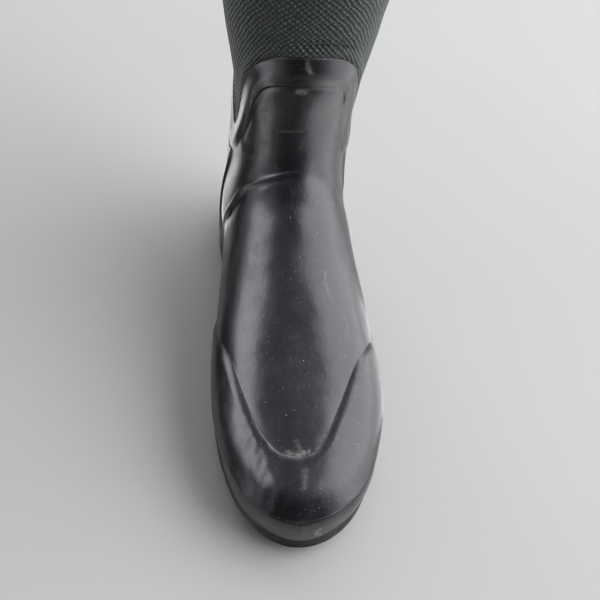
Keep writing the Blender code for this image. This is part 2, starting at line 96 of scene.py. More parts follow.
SECTIONS = [toe_section(*row) for row in (
    ("nose", 0.0, 32.0, 16.5, 0.34),
    ("toe tip", 15.0, 38.0, 16.2, 0.34),
    ("toe front", 30.0, 43.8, 15.6, 0.33),
    ("toe", 45.0, 48.8, 15.0, 0.32),
    ("toe back", 60.0, 55.0, 14.5, 0.31),
    ("ball front", 75.0, 62.6, 14.1, 0.29))]
SECTIONS += [Section(*row) for row in (
    ("ball", 107.0, 71.5, 107.0, 14.0, 47.5, 54.5, 0.0, 0.28, 0.93, 0.0, 2.2, 6.0),
    ("ball back", 126.0, 80.0, 129.0, 15.0, 46.6, 53.2, 0.0, 0.29, 0.91, 0.0, 2.1, 5.8),
    ("waist", 144.0, 90.0, 153.0, 17.5, 44.8, 50.4, 0.0, 0.31, 0.88, 0.0, 2.0, 5.6),
    ("arch", 160.0, 101.0, 177.0, 20.5, 42.6, 46.8, 0.0, 0.33, 0.86, 0.0, 2.0, 5.6),
    ("instep", 173.5, 112.5, 201.0, 23.0, 40.5, 43.4, 0.0, 0.36, 0.86, 0.0, 2.0, 5.8),
    ("instep top", 184.0, 122.5, 225.0, 24.6, 39.6, 40.8, 0.0, 0.39, 0.87, 0.1, 2.0, 6.0),
    ("heel front", 191.0, 131.0, 249.0, 25.2, 40.4, 39.0, 0.0, 0.42, 0.92, 0.3, 2.0, 6.2),
    ("heel", 195.0, 138.0, 271.0, 25.5, 39.6, 38.0, 0.0, 0.45, 0.94, 0.7, 2.0, 6.5),
    ("heel back", 197.5, 145.0, 289.0, 25.5, 38.0, 37.6, 0.0, 0.47, 0.84, 1.0, 2.0, 6.8),
    ("heel turn", 199.0, 152.0, 301.0, 25.5, 36.4, 37.5, 0.0, 0.49, 0.56, 1.0, 2.0, 7.0))]
HEEL_END = len(SECTIONS)
SECTIONS += [Section(*row, **LEG_FORM) for row in (
    ("heel end", 200.0, 159.0, 307.0, 25.5, 35.4, 37.8, 0.0),
    ("heel rise", 200.6, 166.0, 308.0, 44.0, 34.8, 38.2, 0.4),
    ("heel top", 201.0, 174.0, 307.0, 65.0, 34.6, 38.8, 1.0),
    ("ankle", 201.2, 183.0, 304.0, 89.0, 35.2, 39.8, 1.8),
    ("ankle top", 201.2, 194.0, 301.0, 115.0, 37.2, 41.4, 2.8),
    ("leg", 201.0, 208.0, 300.0, 143.0, 40.8, 43.8, 3.9),
    ("leg up", 200.5, 226.0, 302.0, 175.0, 46.0, 47.4, 5.0),
    ("calf low", 199.5, 250.0, 306.5, 212.0, 51.0, 51.6, 6.0),
    ("calf", 197.5, 283.0, 312.5, 258.0, 55.8, 55.8, 6.8),
    ("calf high", 195.0, 325.0, 317.5, 313.0, 59.6, 59.6, 7.4),
    ("shaft top", 192.0, 375.0, 320.0, 375.0, 62.5, 62.5, 7.6))]
TOP_ROW = len(SECTIONS) - 1
print("sections of the last:", len(SECTIONS))

# %% [markdown]
# A cubic spline runs through each column. The low line turns a corner at the end of the heel,
# where it leaves the floor and climbs the back of the leg, so its columns are splined in two
# pieces. The functions take whole arrays of stations, because a skin has tens of thousands
# of points and one array sum is far quicker than a loop.

# %% Smooth columns
FLAT_AT_NOSE = ("top_y", "low_y", "low_z", "rim", "widest", "arch", "tuck", "closed")
TURN_AT_HEEL = ("low_y", "low_z", "tuck")
FLAT_AT_HEEL = ("low_y",)


def spline(values, flat_start, flat_end):
    """Second derivatives of a cubic spline through evenly spaced values."""
    count = len(values)
    matrix = np.eye(count)
    right = np.zeros(count)
    for row in range(1, count - 1):
        matrix[row, row - 1:row + 2] = (1.0, 4.0, 1.0)
        right[row] = 6.0 * (values[row - 1] - 2.0 * values[row] + values[row + 1])
    if flat_start:
        matrix[0, :2] = (2.0, 1.0)
        right[0] = 6.0 * (values[1] - values[0])
    if flat_end:
        matrix[-1, -2:] = (1.0, 2.0)
        right[-1] = 6.0 * (values[-2] - values[-1])
    return np.linalg.solve(matrix, right)


CURVES = {}
for field in Section._fields[1:]:
    column = np.array([getattr(row, field) for row in SECTIONS])
    if field in TURN_AT_HEEL:
        foot = column[:HEEL_END + 1]
        leg = column[HEEL_END:]
        flat = field in FLAT_AT_HEEL
        CURVES[field] = [(0, foot, spline(foot, field in FLAT_AT_NOSE, flat)),
                         (HEEL_END, leg, spline(leg, flat, False))]
    else:
        CURVES[field] = [(0, column, spline(column, field in FLAT_AT_NOSE, False))]


def column_at(field, station):
    """Values of one column of the table at stations between its rows."""
    station = np.asarray(station, dtype=float)
    result = np.zeros_like(station)
    pieces = CURVES[field]
    for number, (first, values, bends) in enumerate(pieces):
        here = station >= first if number == len(pieces) - 1 else station < HEEL_END
        place = np.clip(station - first, 0.0, len(values) - 1.0)
        index = np.minimum(place.astype(int), len(values) - 2)
        after = place - index
        before = 1.0 - after
        curve = before * values[index] + after * values[index + 1]
        curve += ((before ** 3 - before) * bends[index] + (after ** 3 - after) * bends[index + 1]) / 6.0
        result = np.where(here, curve, result)
    return result


print("ball is %.0f mm wide on the last" % (column_at("medial", 6.0) + column_at("lateral", 6.0)))

# %% [markdown]
# Around a section, the first share of the climb is the side wall, which rises from the sole.
# The rest is the arch over the top. On the leg the two together close into an oval ring.

# %% The surface of the last
WALL_SHARE = 0.32
PROBE_STATION = 0.02
PROBE_AROUND = 0.004
NOSE_END = 0.001


def climb_of(around):
    return 2.0 * np.minimum(around, 1.0 - around)


def around_of(climb, outer):
    """Place around the boot for a climb on the outer or the inner side."""
    return np.where(outer, 1.0 - 0.5 * climb, 0.5 * climb)


def both(station, around):
    return np.broadcast_arrays(np.asarray(station, float), np.asarray(around, float))


def last_point(station, around):
    """Points of the last; around runs from the inner low edge over the top to the outer one."""
    station, around = both(station, around)
    inner = around < 0.5
    climb = climb_of(around)
    half = np.where(inner, column_at("medial", station), column_at("lateral", station))
    widest = column_at("widest", station)
    arch = column_at("arch", station)
    share = np.clip(climb / WALL_SHARE, 0.0, 1.0)
    closed = np.clip(column_at("closed", station), 0.0, 1.0)
    tuck = np.where(station < HEEL_END, np.clip(column_at("tuck", station), 0.0, 1.0), 0.0)
    start = np.arcsin(tuck)
    turn = blend(start, 0.5 * math.pi, share)
    ease = share * share * (3.0 - 2.0 * share)
    wall_out = half * blend(blend(tuck, 1.0, ease), np.sin(turn), closed)
    wall_rise = widest * blend(share, 1.0 - np.cos(turn) / np.cos(start), closed)
    over = 0.5 * math.pi * np.clip((climb - WALL_SHARE) / (1.0 - WALL_SHARE), 0.0, 1.0)
    arch_out = half * np.maximum(0.0, np.cos(over)) ** (2.0 / arch)
    arch_rise = blend(widest, 1.0, np.sin(over) ** (2.0 / arch))
    wall = climb < WALL_SHARE
    out = np.where(wall, wall_out, arch_out)
    rise = np.where(wall, wall_rise, arch_rise)
    along = blend(column_at("low_y", station), column_at("top_y", station), rise)
    height = blend(column_at("low_z", station), column_at("top_z", station), rise)
    side = np.where(inner, -out, out) + column_at("shift", station)
    return np.stack([side, along, height], axis=-1)


def last_normal(station, around):
    """Outward directions of the last."""
    station, around = both(station, around)
    probe = np.clip(station, 2.0 * PROBE_STATION, TOP_ROW - PROBE_STATION)
    ring = station >= HEEL_END
    behind = np.where(ring, (around - PROBE_AROUND) % 1.0, np.maximum(around - PROBE_AROUND, 0.0))
    ahead = np.where(ring, (around + PROBE_AROUND) % 1.0, np.minimum(around + PROBE_AROUND, 1.0))
    across = last_point(probe, ahead) - last_point(probe, behind)
    along = last_point(probe + PROBE_STATION, around) - last_point(probe - PROBE_STATION, around)
    normal = np.cross(across, along)
    normal[..., 0] = np.where(station < NOSE_END, 0.0, normal[..., 0])
    return normal / np.linalg.norm(normal, axis=-1, keepdims=True)


print("top of the instep at", last_point(12.0, 0.5).round(1), "mm")

# %% [markdown]
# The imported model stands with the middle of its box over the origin. The outsole's box gives
# the tip of the toe and the shaft's box gives the middle of the leg, which is all that is
# needed to bring points of the last to their place.

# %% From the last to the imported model
shaft_low, shaft_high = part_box("shaft")
leg_middle = 0.5 * (shaft_low[0] + shaft_high[0])
PLACE = np.array([leg_middle - SECTIONS[-1].shift * MM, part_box("outsole")[0][1], 0.0])


def to_model(points):
    """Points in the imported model's metres from points of the last in millimetres."""
    return np.asarray(points) * MM + PLACE


print("tip of the toe stands at y = %.4f m" % PLACE[1])

# %% [markdown]
# ## Lines on the boot
# The rubber edge, the collar band, the toe cap and the heel counter all end on drawn lines.
# Each is a short table read off the boot: how far from the toe and how high. The cap's line
# gives the way from the toe for each climb, on the inner and on the outer side. A drawn line
# is never a row of straight pieces, so the corners of each table are eased a little.

# %% Drawn lines
COLLAR_LINE = [(198, 216.5), (204, 213), (210.5, 205.5), (216, 196.5), (222, 184), (228, 167),
               (233, 149), (238, 137), (244, 131), (251, 132.5), (260, 145), (276, 164),
               (292, 174), (314, 178)]
BAND_LINE = [(197, 197), (204, 193.5), (209.5, 187), (213.5, 177), (216.5, 163), (219.5, 147),
             (223.5, 130), (229, 118), (236, 112), (244, 110), (252, 112.5), (262, 125),
             (276, 140), (292, 152), (314, 157)]
CAP_LINE = [(0.00, 178.0, 178.0), (0.25, 161.0, 159.0), (0.36, 145.0, 140.0), (0.45, 129.5, 126.0),
            (0.50, 124.5, 122.0), (0.55, 117.5, 118.0), (0.60, 109.0, 112.0), (0.65, 96.5, 106.0),
            (0.70, 81.0, 98.0), (0.74, 65.5, 88.0), (0.79, 52.5, 74.0), (0.83, 46.0, 60.5),
            (0.87, 41.5, 51.0), (0.915, 39.5, 41.5), (0.96, 38.8, 38.5), (1.00, 38.4, 38.4)]
EASE_STEPS = np.array([-1.0, -0.5, 0.0, 0.5, 1.0])
LINE_EASE = 3.0


def on_line(line, value, column=1):
    """A column of a drawn line at values of its first column."""
    return np.interp(value, [row[0] for row in line], [row[column] for row in line])


def eased(line, value, reach=LINE_EASE, column=1):
    """The same, with the line's corners rounded."""
    return np.mean([on_line(line, value + reach * step, column) for step in EASE_STEPS], axis=0)


print("front of the collar is %.0f mm up" % eased(COLLAR_LINE, 200.0))

# %% [markdown]
# Where a column of the last meets a drawn line is found by halving: the crossing lies in one
# half of a span, and that half is halved again. Whole arrays of columns are halved together.

# %% Where the last meets a line
HALVINGS = 36
CAP_EASE = 0.03
INNER_COLUMN = 1
OUTER_COLUMN = 2


def solve(goal, low, high, shape):
    """Values between low and high where a rising goal passes zero, for whole arrays."""
    low = np.full(shape, float(low))
    high = np.full(shape, float(high))
    for _ in range(HALVINGS):
        middle = 0.5 * (low + high)
        below = goal(middle) < 0.0
        low = np.where(below, middle, low)
        high = np.where(below, high, middle)
    return 0.5 * (low + high)


def per_column(around, rule):
    """A value that depends on the place around the boot alone, worked out once a column."""
    columns, back = np.unique(np.round(around, 9), return_inverse=True)
    return rule(columns)[back]


def line_station(line, around):
    """Stations at which columns of the last reach a drawn line."""
    def above(station):
        point = last_point(station, around)
        return point[..., 2] - eased(line, point[..., 1])
    return solve(above, HEEL_END - 2, TOP_ROW, around.shape)


def band_station(around):
    return per_column(around, lambda columns: line_station(BAND_LINE, columns))


def collar_station(around):
    return per_column(around, lambda columns: line_station(COLLAR_LINE, columns))


def cap_station(around):
    """Stations at which columns of the last reach the toe cap's edge."""
    climb = climb_of(around)
    target = np.where(around < 0.5, eased(CAP_LINE, climb, CAP_EASE, INNER_COLUMN),
                      eased(CAP_LINE, climb, CAP_EASE, OUTER_COLUMN))
    return solve(lambda station: last_point(station, around)[..., 1] - target, 0, HEEL_END, around.shape)


print("the cap ends at station %.2f over the toes" % cap_station(np.array([0.5]))[0])

# %% [markdown]
# ## Folds
# Rubber that has been walked in keeps soft folds. The main one crosses the instep, where the
# foot bends the boot, and runs down both sides to the waist: a trough with a raised lip on
# the ankle's side. The folds are given as lines of (station, around) on the last,
# and each raises or sinks every skin that it passes under, so shell and overlays crease
# together. A few long, low waves keep the rubber from looking machined.

# %% Folds of the shell
Fold = namedtuple("Fold", "name depth width lip lip_width lip_offset places")
FOLDS = [
    Fold("instep, inner side", 0.75, 4.5, 0.7, 1.8, 2.0,
         [(10.6, 0.06), (11.0, 0.13), (11.27, 0.191), (11.45, 0.279), (11.85, 0.335), (11.98, 0.372),
          (12.0, 0.40)]),
    Fold("instep, front", 0.4, 2.8, 0.8, 1.3, 1.3,
         [(11.88, 0.35), (11.97, 0.39), (12.02, 0.43), (12.14, 0.465), (12.27, 0.50), (12.36, 0.53)]),
    Fold("instep, outer side", 0.45, 6.0, 0.15, 3.5, 4.0,
         [(12.30, 0.52), (12.42, 0.57), (12.40, 0.62), (12.30, 0.68), (12.1, 0.75), (11.6, 0.86)]),
    Fold("vamp", 0.45, 8.0, 0.0, 1.0, 0.0,
         [(10.5, 0.34), (10.75, 0.43), (10.8, 0.50), (10.75, 0.57), (10.6, 0.66)]),
    Fold("ankle", 0.12, 2.2, 0.08, 1.5, 2.0, [(16.6, 0.43), (16.5, 0.47), (16.48, 0.51), (16.6, 0.55)]),
    Fold("ankle side", 0.35, 4.0, 0.2, 3.0, 3.0, [(14.6, 0.36), (15.2, 0.335), (15.9, 0.31), (16.4, 0.29)]),
    Fold("band", 0.35, 1.8, 0.3, 1.4, 2.0, [(19.95, 0.50), (20.0, 0.54), (19.98, 0.575), (19.9, 0.61)]),
]
print("folds placed by hand:", ", ".join(fold.name for fold in FOLDS))

# %% [markdown]
# A fold is soft, so its section is a hump that dies away on both sides. How strong it is at a
# place depends on the distance from the fold's line, and it fades towards the line's ends.

# %% Soft steps, humps and distances
FOLD_FINENESS = 6


def eased_step(share):
    """A soft step from 0 to 1."""
    share = np.clip(share, 0.0, 1.0)
    return share * share * (3.0 - 2.0 * share)


def bell(gap, width):
    """A soft hump, 1 where the gap is nothing and almost lost two widths away."""
    return np.exp(-(gap / width) ** 2)


def drawn_out(places, fineness):
    """A line through given places, with many points: their shares of the line, stations and arounds."""
    table = np.array(places)
    steps = np.linspace(0.0, 1.0, len(table))
    fine = np.linspace(0.0, 1.0, fineness * len(table))
    return fine, np.interp(fine, steps, table[:, 0]), np.interp(fine, steps, table[:, 1])


def line_distance(points, line):
    """Distance of points from a line, and how far along the line the nearest place is."""
    best = np.full(len(points), np.inf)
    share = np.zeros(len(points))
    lengths = np.linalg.norm(np.diff(line, axis=0), axis=1)
    reached = np.concatenate([[0.0], np.cumsum(lengths)]) / lengths.sum()
    for number, (start, end) in enumerate(zip(line[:-1], line[1:])):
        leg = end - start
        part = np.clip((points - start) @ leg / max(leg @ leg, 1e-12), 0.0, 1.0)
        gap = np.linalg.norm(points - start - part[:, None] * leg, axis=1)
        nearer = gap < best
        best = np.where(nearer, gap, best)
        share = np.where(nearer, blend(reached[number], reached[number + 1], part), share)
    return best, share


first_fold = last_point(*drawn_out(FOLDS[0].places, FOLD_FINENESS)[1:])
print("%s: %.0f mm from end to end" % (FOLDS[0].name, np.linalg.norm(first_fold[-1] - first_fold[0])))

# %% Lift of the folds
FOLD_PROBE = 0.04
FADE_SHARE = 0.22
TROUGH_OFFSET = 0.4
Swell = namedtuple("Swell", "x y z start height")
SWELLS = [Swell(0.11, 0.07, 0.05, 0.3, 0.13), Swell(-0.06, 0.10, 0.09, 1.7, 0.13),
          Swell(0.04, -0.12, 0.15, 4.1, 0.13), Swell(0.19, 0.05, -0.14, 2.6, 0.10),
          Swell(0.31, 0.16, 0.11, 5.2, 0.04), Swell(-0.17, 0.29, 0.24, 0.9, 0.04)]


def fold_lift(station, around):
    """How far the folds and the slight swell of the rubber raise the skin, in millimetres."""
    points = last_point(station, around)
    lift = np.zeros(len(points))
    for fold in FOLDS:
        fine, stations, arounds = drawn_out(fold.places, FOLD_FINENESS)
        gap, share = line_distance(points, last_point(stations, arounds))
        before, after = np.maximum(share - FOLD_PROBE, 0.0), np.minimum(share + FOLD_PROBE, 1.0)
        run = np.interp(after, fine, stations) - np.interp(before, fine, stations)
        swing = np.interp(after, fine, arounds) - np.interp(before, fine, arounds)
        ahead = station - np.interp(share, fine, stations)
        aside = around - np.interp(share, fine, arounds)
        above = np.sign(swing * ahead - run * aside) * gap
        fade = eased_step(np.minimum(share, 1.0 - share) / FADE_SHARE)
        trough = fold.depth * bell(above + TROUGH_OFFSET * fold.width, fold.width)
        lift += fade * (fold.lip * bell(above - fold.lip_offset, fold.lip_width) - trough)
    for swell in SWELLS:
        lift += swell.height * np.sin(points @ np.array([swell.x, swell.y, swell.z]) + swell.start)
    return lift


print("lift over the instep: %.2f mm" % fold_lift(np.array([12.0]), np.array([0.5]))[0])

# %% [markdown]
# ## Making a skin
# Each rubber skin starts as a flat grid. Its two coordinates become a place on the last, and
# the operator's points are carried there. The grid's own texture coordinates are kept, so the
# knit can follow the cloth. Points that fall together, at the nose and down the back of the
# heel, are merged, and the Solidify modifier gives the skin its wall. Where the rows turn the
# heel, a short average keeps the turn from showing as a crease.

# %% Skin tools
HEEL_TURN_SPREAD = 1.1
HEEL_TURN_EASE = 0.9
HEEL_TURN_CLIMB = 0.3


def flat_sheet(bm, columns, rows):
    """A flat grid with texture coordinates, and its points' two coordinates from 0 to 1."""
    if not bm.loops.layers.uv:
        bm.loops.layers.uv.new("UVMap")
    made = bmesh.ops.create_grid(bm, x_segments=columns, y_segments=rows, size=0.5, calc_uvs=True)
    flat = np.array([vert.co[:2] for vert in made["verts"]]) + 0.5
    return made["verts"], flat[:, 0], flat[:, 1]


def round_the_heel(surface, station, around):
    """A surface of the last averaged over a short run of stations where its rows turn the heel."""
    near = bell(station - HEEL_END, HEEL_TURN_SPREAD)
    reach = HEEL_TURN_EASE * near * eased_step(climb_of(around) / HEEL_TURN_CLIMB)
    return np.mean([surface(np.maximum(station + reach * step, 0.0), around) for step in EASE_STEPS], axis=0)


def move(verts, points):
    """Moves a sheet's points to places given in millimetres."""
    for vert, place in zip(verts, to_model(points)):
        vert.co = place


def carry(verts, station, around, lift):
    """Moves a sheet's points to their places over the last."""
    normal = round_the_heel(last_normal, station, around)
    normal /= np.linalg.norm(normal, axis=-1, keepdims=True)
    move(verts, round_the_heel(last_point, station, around) + lift[:, None] * normal)


print("the heel's turn is eased over %.1f stations" % HEEL_TURN_SPREAD)

# %% Pieces
MERGE = 0.000002


def object_from(name, bm):
    """An object of a bmesh, linked to the scene."""
    mesh = bpy.data.meshes.new(name)
    bm.to_mesh(mesh)
    bm.free()
    made = bpy.data.objects.new(name, mesh)
    bpy.context.scene.collection.objects.link(made)
    return made


def piece_from(name, bm, finish, nodes=(), wall=0.0, facing_in=False):
    """Object of a bmesh, smooth, facing outward, riding on the boot, with a wall if it has one."""
    bmesh.ops.remove_doubles(bm, verts=bm.verts, dist=MERGE)
    bmesh.ops.dissolve_degenerate(bm, edges=bm.edges, dist=MERGE)
    bmesh.ops.recalc_face_normals(bm, faces=bm.faces)
    middle = sum((vert.co for vert in bm.verts), Vector()) / len(bm.verts)
    bm.normal_update()
    outward = sum((face.calc_center_median() - middle).dot(face.normal) * face.calc_area()
                  for face in bm.faces)
    if (outward < 0.0) != facing_in:
        bmesh.ops.reverse_faces(bm, faces=bm.faces)
    for face in bm.faces:
        face.smooth = True
    piece = object_from(name, bm)
    piece.data.materials.append(finish)
    if wall:
        solid = piece.modifiers.new("wall", "SOLIDIFY")
        solid.thickness = wall * MM
        solid.offset = -1.0
    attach(piece, "root")
    if nodes:
        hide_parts(*nodes)
    print("%s: %d faces" % (name, len(piece.data.polygons)))
    return piece


print("points closer than %.3f mm become one" % (MERGE / MM))


# %% [markdown]
# A piece needs a finish from the start. These are empty; their recipes follow further down,
# when all the pieces are made.

# %% Empty finishes
def new_finish(name):
    made = bpy.data.materials.new(name)
    made.use_nodes = True
    return made


shell_finish = new_finish("black_rubber")
sole_finish = new_finish("sole_rubber")
knit_finish = new_finish("green_knit")
lining_finish = new_finish("lining_cloth")
footbed_finish = new_finish("footbed_cloth")
stitch_finish = new_finish("hem_thread")
print("finishes:", len(bpy.data.materials))

# %% [markdown]
# ## The shell
# The shell is one moulded skin from the toe to the collar. Its rows run along the foot to the
# end of the heel, then up the ankle to the band, then up to the collar. Where the band dips
# at the ankle bone, the foot's rows are squeezed a little so that rows never fold back.

# %% Shell rows
SQUEEZE_START = 13.0
ANKLE_START = 0.25
FOOT_SHARE = 0.70
ANKLE_SHARE = 0.92
ROW_SHARES = [0.0, 0.08, 0.36, FOOT_SHARE]
ROW_STATIONS = [0.0, 2.5, 9.0, HEEL_END]


def shell_station(row, around):
    """Stations of the shell's rows, row running from 0 at the nose to 1 at the collar."""
    band = band_station(around)
    ankle = np.minimum(HEEL_END, band - ANKLE_START)
    foot = np.interp(row, ROW_SHARES, ROW_STATIONS)
    squeezed = blend(SQUEEZE_START, ankle, (foot - SQUEEZE_START) / (HEEL_END - SQUEEZE_START))
    foot = np.where(foot > SQUEEZE_START, squeezed, foot)
    climb = blend(ankle, band, np.clip((row - FOOT_SHARE) / (ANKLE_SHARE - FOOT_SHARE), 0.0, 1.0))
    above_band = np.clip((row - ANKLE_SHARE) / (1.0 - ANKLE_SHARE), 0.0, 1.0)
    top = blend(band, collar_station(around), above_band)
    return np.where(row <= FOOT_SHARE, foot, np.where(row <= ANKLE_SHARE, climb, top))


print("the shell ends at station %.2f in front" % shell_station(np.array([1.0]), np.array([0.5]))[0])


# %% [markdown]
# The overlays that are laid on the shell later press it in along their edges. The edges are
# worked out here as rows of points, so that a skin can ask how far away each one is. The
# band's lower edge is sharp in a few places and almost lost elsewhere.

# %% Edges of the overlays
EDGE_POINTS = 240
edge_arounds = np.linspace(0.0, 1.0, EDGE_POINTS)
cap_edge = last_point(cap_station(edge_arounds), edge_arounds)
collar_edge = last_point(line_station(COLLAR_LINE, edge_arounds), edge_arounds)
band_edge = last_point(line_station(BAND_LINE, edge_arounds), edge_arounds)
Strong = namedtuple("Strong", "around spread share")
STRONG_STEPS = [Strong(0.415, 0.065, 1.0), Strong(0.325, 0.02, 0.6), Strong(0.655, 0.012, 0.55),
                Strong(0.72, 0.03, 0.4)]


def gap_to(edge, station, around):
    """How far places on the last are from an edge, in millimetres."""
    return line_distance(last_point(station, around), edge)[0]


def sharpness(around):
    """How sharp the band's lower step is, from 0 where it is almost lost to 1."""
    return np.max([place.share * bell(around - place.around, place.spread) for place in STRONG_STEPS], axis=0)


print("edges drawn with %d points each" % EDGE_POINTS)

# %% Shell skin
SHELL_OUT = 2.5
SHELL_WALL = 2.2
SHELL_COLUMNS = 190
SHELL_ROWS = 225
UNDER_BAND = 1.3
CAP_TROUGH = 0.2
CAP_TROUGH_WIDTH = 2.6
BAND_TROUGH = 0.6
BAND_TROUGH_WIDTH = 1.7

shell_bm = bmesh.new()
verts, across, along = flat_sheet(shell_bm, SHELL_COLUMNS, SHELL_ROWS)
station = shell_station(along, across)
lift = SHELL_OUT + fold_lift(station, across)
lift -= CAP_TROUGH * bell(gap_to(cap_edge, station, across), CAP_TROUGH_WIDTH)
lift -= BAND_TROUGH * sharpness(across) * bell(gap_to(band_edge, station, across), BAND_TROUGH_WIDTH)
lift -= UNDER_BAND * eased_step((along - ANKLE_SHARE) / (1.0 - ANKLE_SHARE))
carry(verts, station, across, lift)
shell = piece_from("shell", shell_bm, shell_finish, ["upper"], SHELL_WALL)

# %% [markdown]
# ## The toe cap
# A second layer of rubber is laid over the toe. Its rear edge is a wide V that runs up from
# the sole on both sides and meets over the toes. The edge thins out over a few millimetres,
# so the rows of the sheet follow it and crowd towards it. Low on the toe the cap slopes out
# to meet the bumper, and its inner side has fine wrinkles.

# %% Toe cap skin
OVERLAY_LOW = 2.2
OVERLAY_OUT = 4.3
OVERLAY_WALL = 1.4
CAP_LOW = 2.15
CAP_ROLL = 6.0
CAP_COLUMNS = 200
CAP_ROWS = 120
CROWDING = 1.5
CRINKLE_AT = np.array([(4.3, 0.352), (3.6, 0.350), (2.8, 0.345), (2.0, 0.335), (1.5, 0.34)])
CRINKLE_REACH = 9.0
CRINKLE_HEIGHT = 0.09
SLANT_TOP = 38.5
SLANT_FALL = 7.5
SLANT_OUT = 2.5
SLANT_END = 4.5
SLANT_FADE = 2.5


def crinkle_lift(station, around):
    """Fine wrinkles on the inner side of the cap, where the rubber was pressed."""
    x, y, _ = last_point(station, around).T
    ripple = np.sin(0.95 * x + 1.5 * np.sin(0.21 * y) + 0.13 * y)
    ripple += 0.7 * np.sin(0.55 * y - 0.8 * x + 1.1 * np.sin(0.4 * x))
    gap = gap_to(last_point(*CRINKLE_AT.T), station, around)
    return CRINKLE_HEIGHT * ripple * bell(gap, CRINKLE_REACH)


def toe_slant(station, around):
    """Extra lift low on the toe, where the cap slopes out towards the bumper."""
    height = last_point(station, around)[:, 2]
    low = np.clip((SLANT_TOP - height) / SLANT_FALL, 0.0, 1.0) ** 2
    return SLANT_OUT * low * eased_step((SLANT_END - station) / SLANT_FADE)


cap_bm = bmesh.new()
verts, across, along = flat_sheet(cap_bm, CAP_COLUMNS, CAP_ROWS)
station = per_column(across, cap_station) * (1.0 - (1.0 - along) ** CROWDING)
thin = (1.0 - np.clip(gap_to(cap_edge, station, across) / CAP_ROLL, 0.0, 1.0)) ** 2
lift = blend(OVERLAY_OUT, CAP_LOW, thin) + fold_lift(station, across)
lift += crinkle_lift(station, across) + toe_slant(station, across)
carry(verts, station, across, lift)
toe_cap = piece_from("toe_cap_skin", cap_bm, shell_finish, ["toe_cap"], OVERLAY_WALL)

# %% [markdown]
# ## The toe bumper
# A thick strip wraps the toe just above the sole. It bulges most where it meets the sole and
# runs out into the cap at a soft crease. The sheet runs from its end on the inner side,
# round the nose, to its end on the outer side.

# %% Toe bumper skin
BUMPER_LINE = [(0, 11.0), (30, 11.0), (50, 9.0), (72, 5.5)]
BUMPER_END = 4.5
BUMPER_INSIDE_RIM = 0.9
BUMPER_BASE = 4.27
BUMPER_WALL = 2.4
BUMPER_COLUMNS = 170
BUMPER_ROWS = 30
BUMPER_RISE = 1.42
BUMPER_FACE = 0.33
BUMPER_CURVE = 1.2
END_FADE = 2.2


def bumper_climb(station, outer):
    """Climb of the bumper's upper edge at stations on one side."""
    target = column_at("low_z", station) + BUMPER_RISE * eased(BUMPER_LINE, column_at("low_y", station))
    return solve(lambda climb: last_point(station, around_of(climb, outer))[..., 2] - target,
                 0, 1, station.shape)


bumper_bm = bmesh.new()
verts, across, along = flat_sheet(bumper_bm, BUMPER_COLUMNS, BUMPER_ROWS)
outer = across > 0.5
station = BUMPER_END * np.abs(2.0 * across - 1.0)
around = around_of(along * bumper_climb(station, outer), outer)
base = BUMPER_BASE + toe_slant(station, around)
bulge = (column_at("rim", station) - BUMPER_INSIDE_RIM - base) * eased_step((BUMPER_END - station) / END_FADE)
profile = 1.0 - np.clip((along - BUMPER_FACE) / (1.0 - BUMPER_FACE), 0.0, 1.0) ** BUMPER_CURVE
carry(verts, station, around, base + bulge * profile + fold_lift(station, around))
bumper = piece_from("toe_bumper_strip", bumper_bm, shell_finish, ["toe_bumper"], BUMPER_WALL)

# %% [markdown]
# ## The heel counter
# The heel is stiffened by another layer, from the band down to the sole and forward to a
# nearly upright edge under the ankle bone. Two sheets, one a side, meet down the back.

# %% Heel counter skin
COUNTER_LINE = [(20, 227), (50, 231), (80, 234.5), (110, 236), (160, 240)]
COUNTER_ROW = np.interp(11.0, ROW_STATIONS, ROW_SHARES)
COUNTER_TOP = ANKLE_SHARE + 0.008
COUNTER_HIGHEST = 0.6
COUNTER_ROLL = 3.0
COUNTER_EDGE = 0.15
COUNTER_SINK = 0.55
COUNTER_SINK_REACH = 5.0
COUNTER_COLUMNS = 75
COUNTER_ROWS = 100
AT_RIM = 0.9999

counter_bm = bmesh.new()
for outer in (False, True):
    verts, across, along = flat_sheet(counter_bm, COUNTER_COLUMNS, COUNTER_ROWS)
    row = blend(COUNTER_ROW, COUNTER_TOP, along)
    rows, back = np.unique(np.round(row, 9), return_inverse=True)

    def ahead(climb):
        around = around_of(climb, outer)
        point = last_point(shell_station(rows, around), around)
        return eased(COUNTER_LINE, point[..., 2]) - point[..., 1]

    limit = solve(ahead, 0, COUNTER_HIGHEST, rows.shape)[back]
    around = around_of(limit * (1.0 - (1.0 - across) ** CROWDING), outer)
    station = shell_station(row, around)
    rim = across > AT_RIM
    front = last_point(station, around)[rim][np.argsort(along[rim])]
    rise = COUNTER_EDGE + (1.0 - COUNTER_EDGE) * gap_to(front, station, around) / COUNTER_ROLL
    lift = blend(OVERLAY_LOW, OVERLAY_OUT, eased_step(rise))
    lift -= COUNTER_SINK * (1.0 - eased_step(gap_to(band_edge, station, around) / COUNTER_SINK_REACH))
    carry(verts, station, around, lift + fold_lift(station, around))
counter = piece_from("heel_counter_skin", counter_bm, shell_finish, ["heel_counter"],
                     OVERLAY_WALL)

# %% [markdown]
# ## The collar band
# The top of the shell is doubled by a band that follows the edge: high and flat in front, low
# in a notch at each ankle bone, rising again behind. Its lower step is sharp at the inner
# front corner and almost lost over the middle, as hand-laid rubber often is. Along the collar
# the rubber thins out, where it is bonded down on the knit.

# %% Collar band skin
BAND_COLUMNS = 250
BAND_ROWS = 30
SHARP_STEP = 1.8
SOFT_STEP = 8.0
STEP_START = 0.1
COLLAR_FEATHER = 10.0
COLLAR_EDGE_LIFT = 2.2

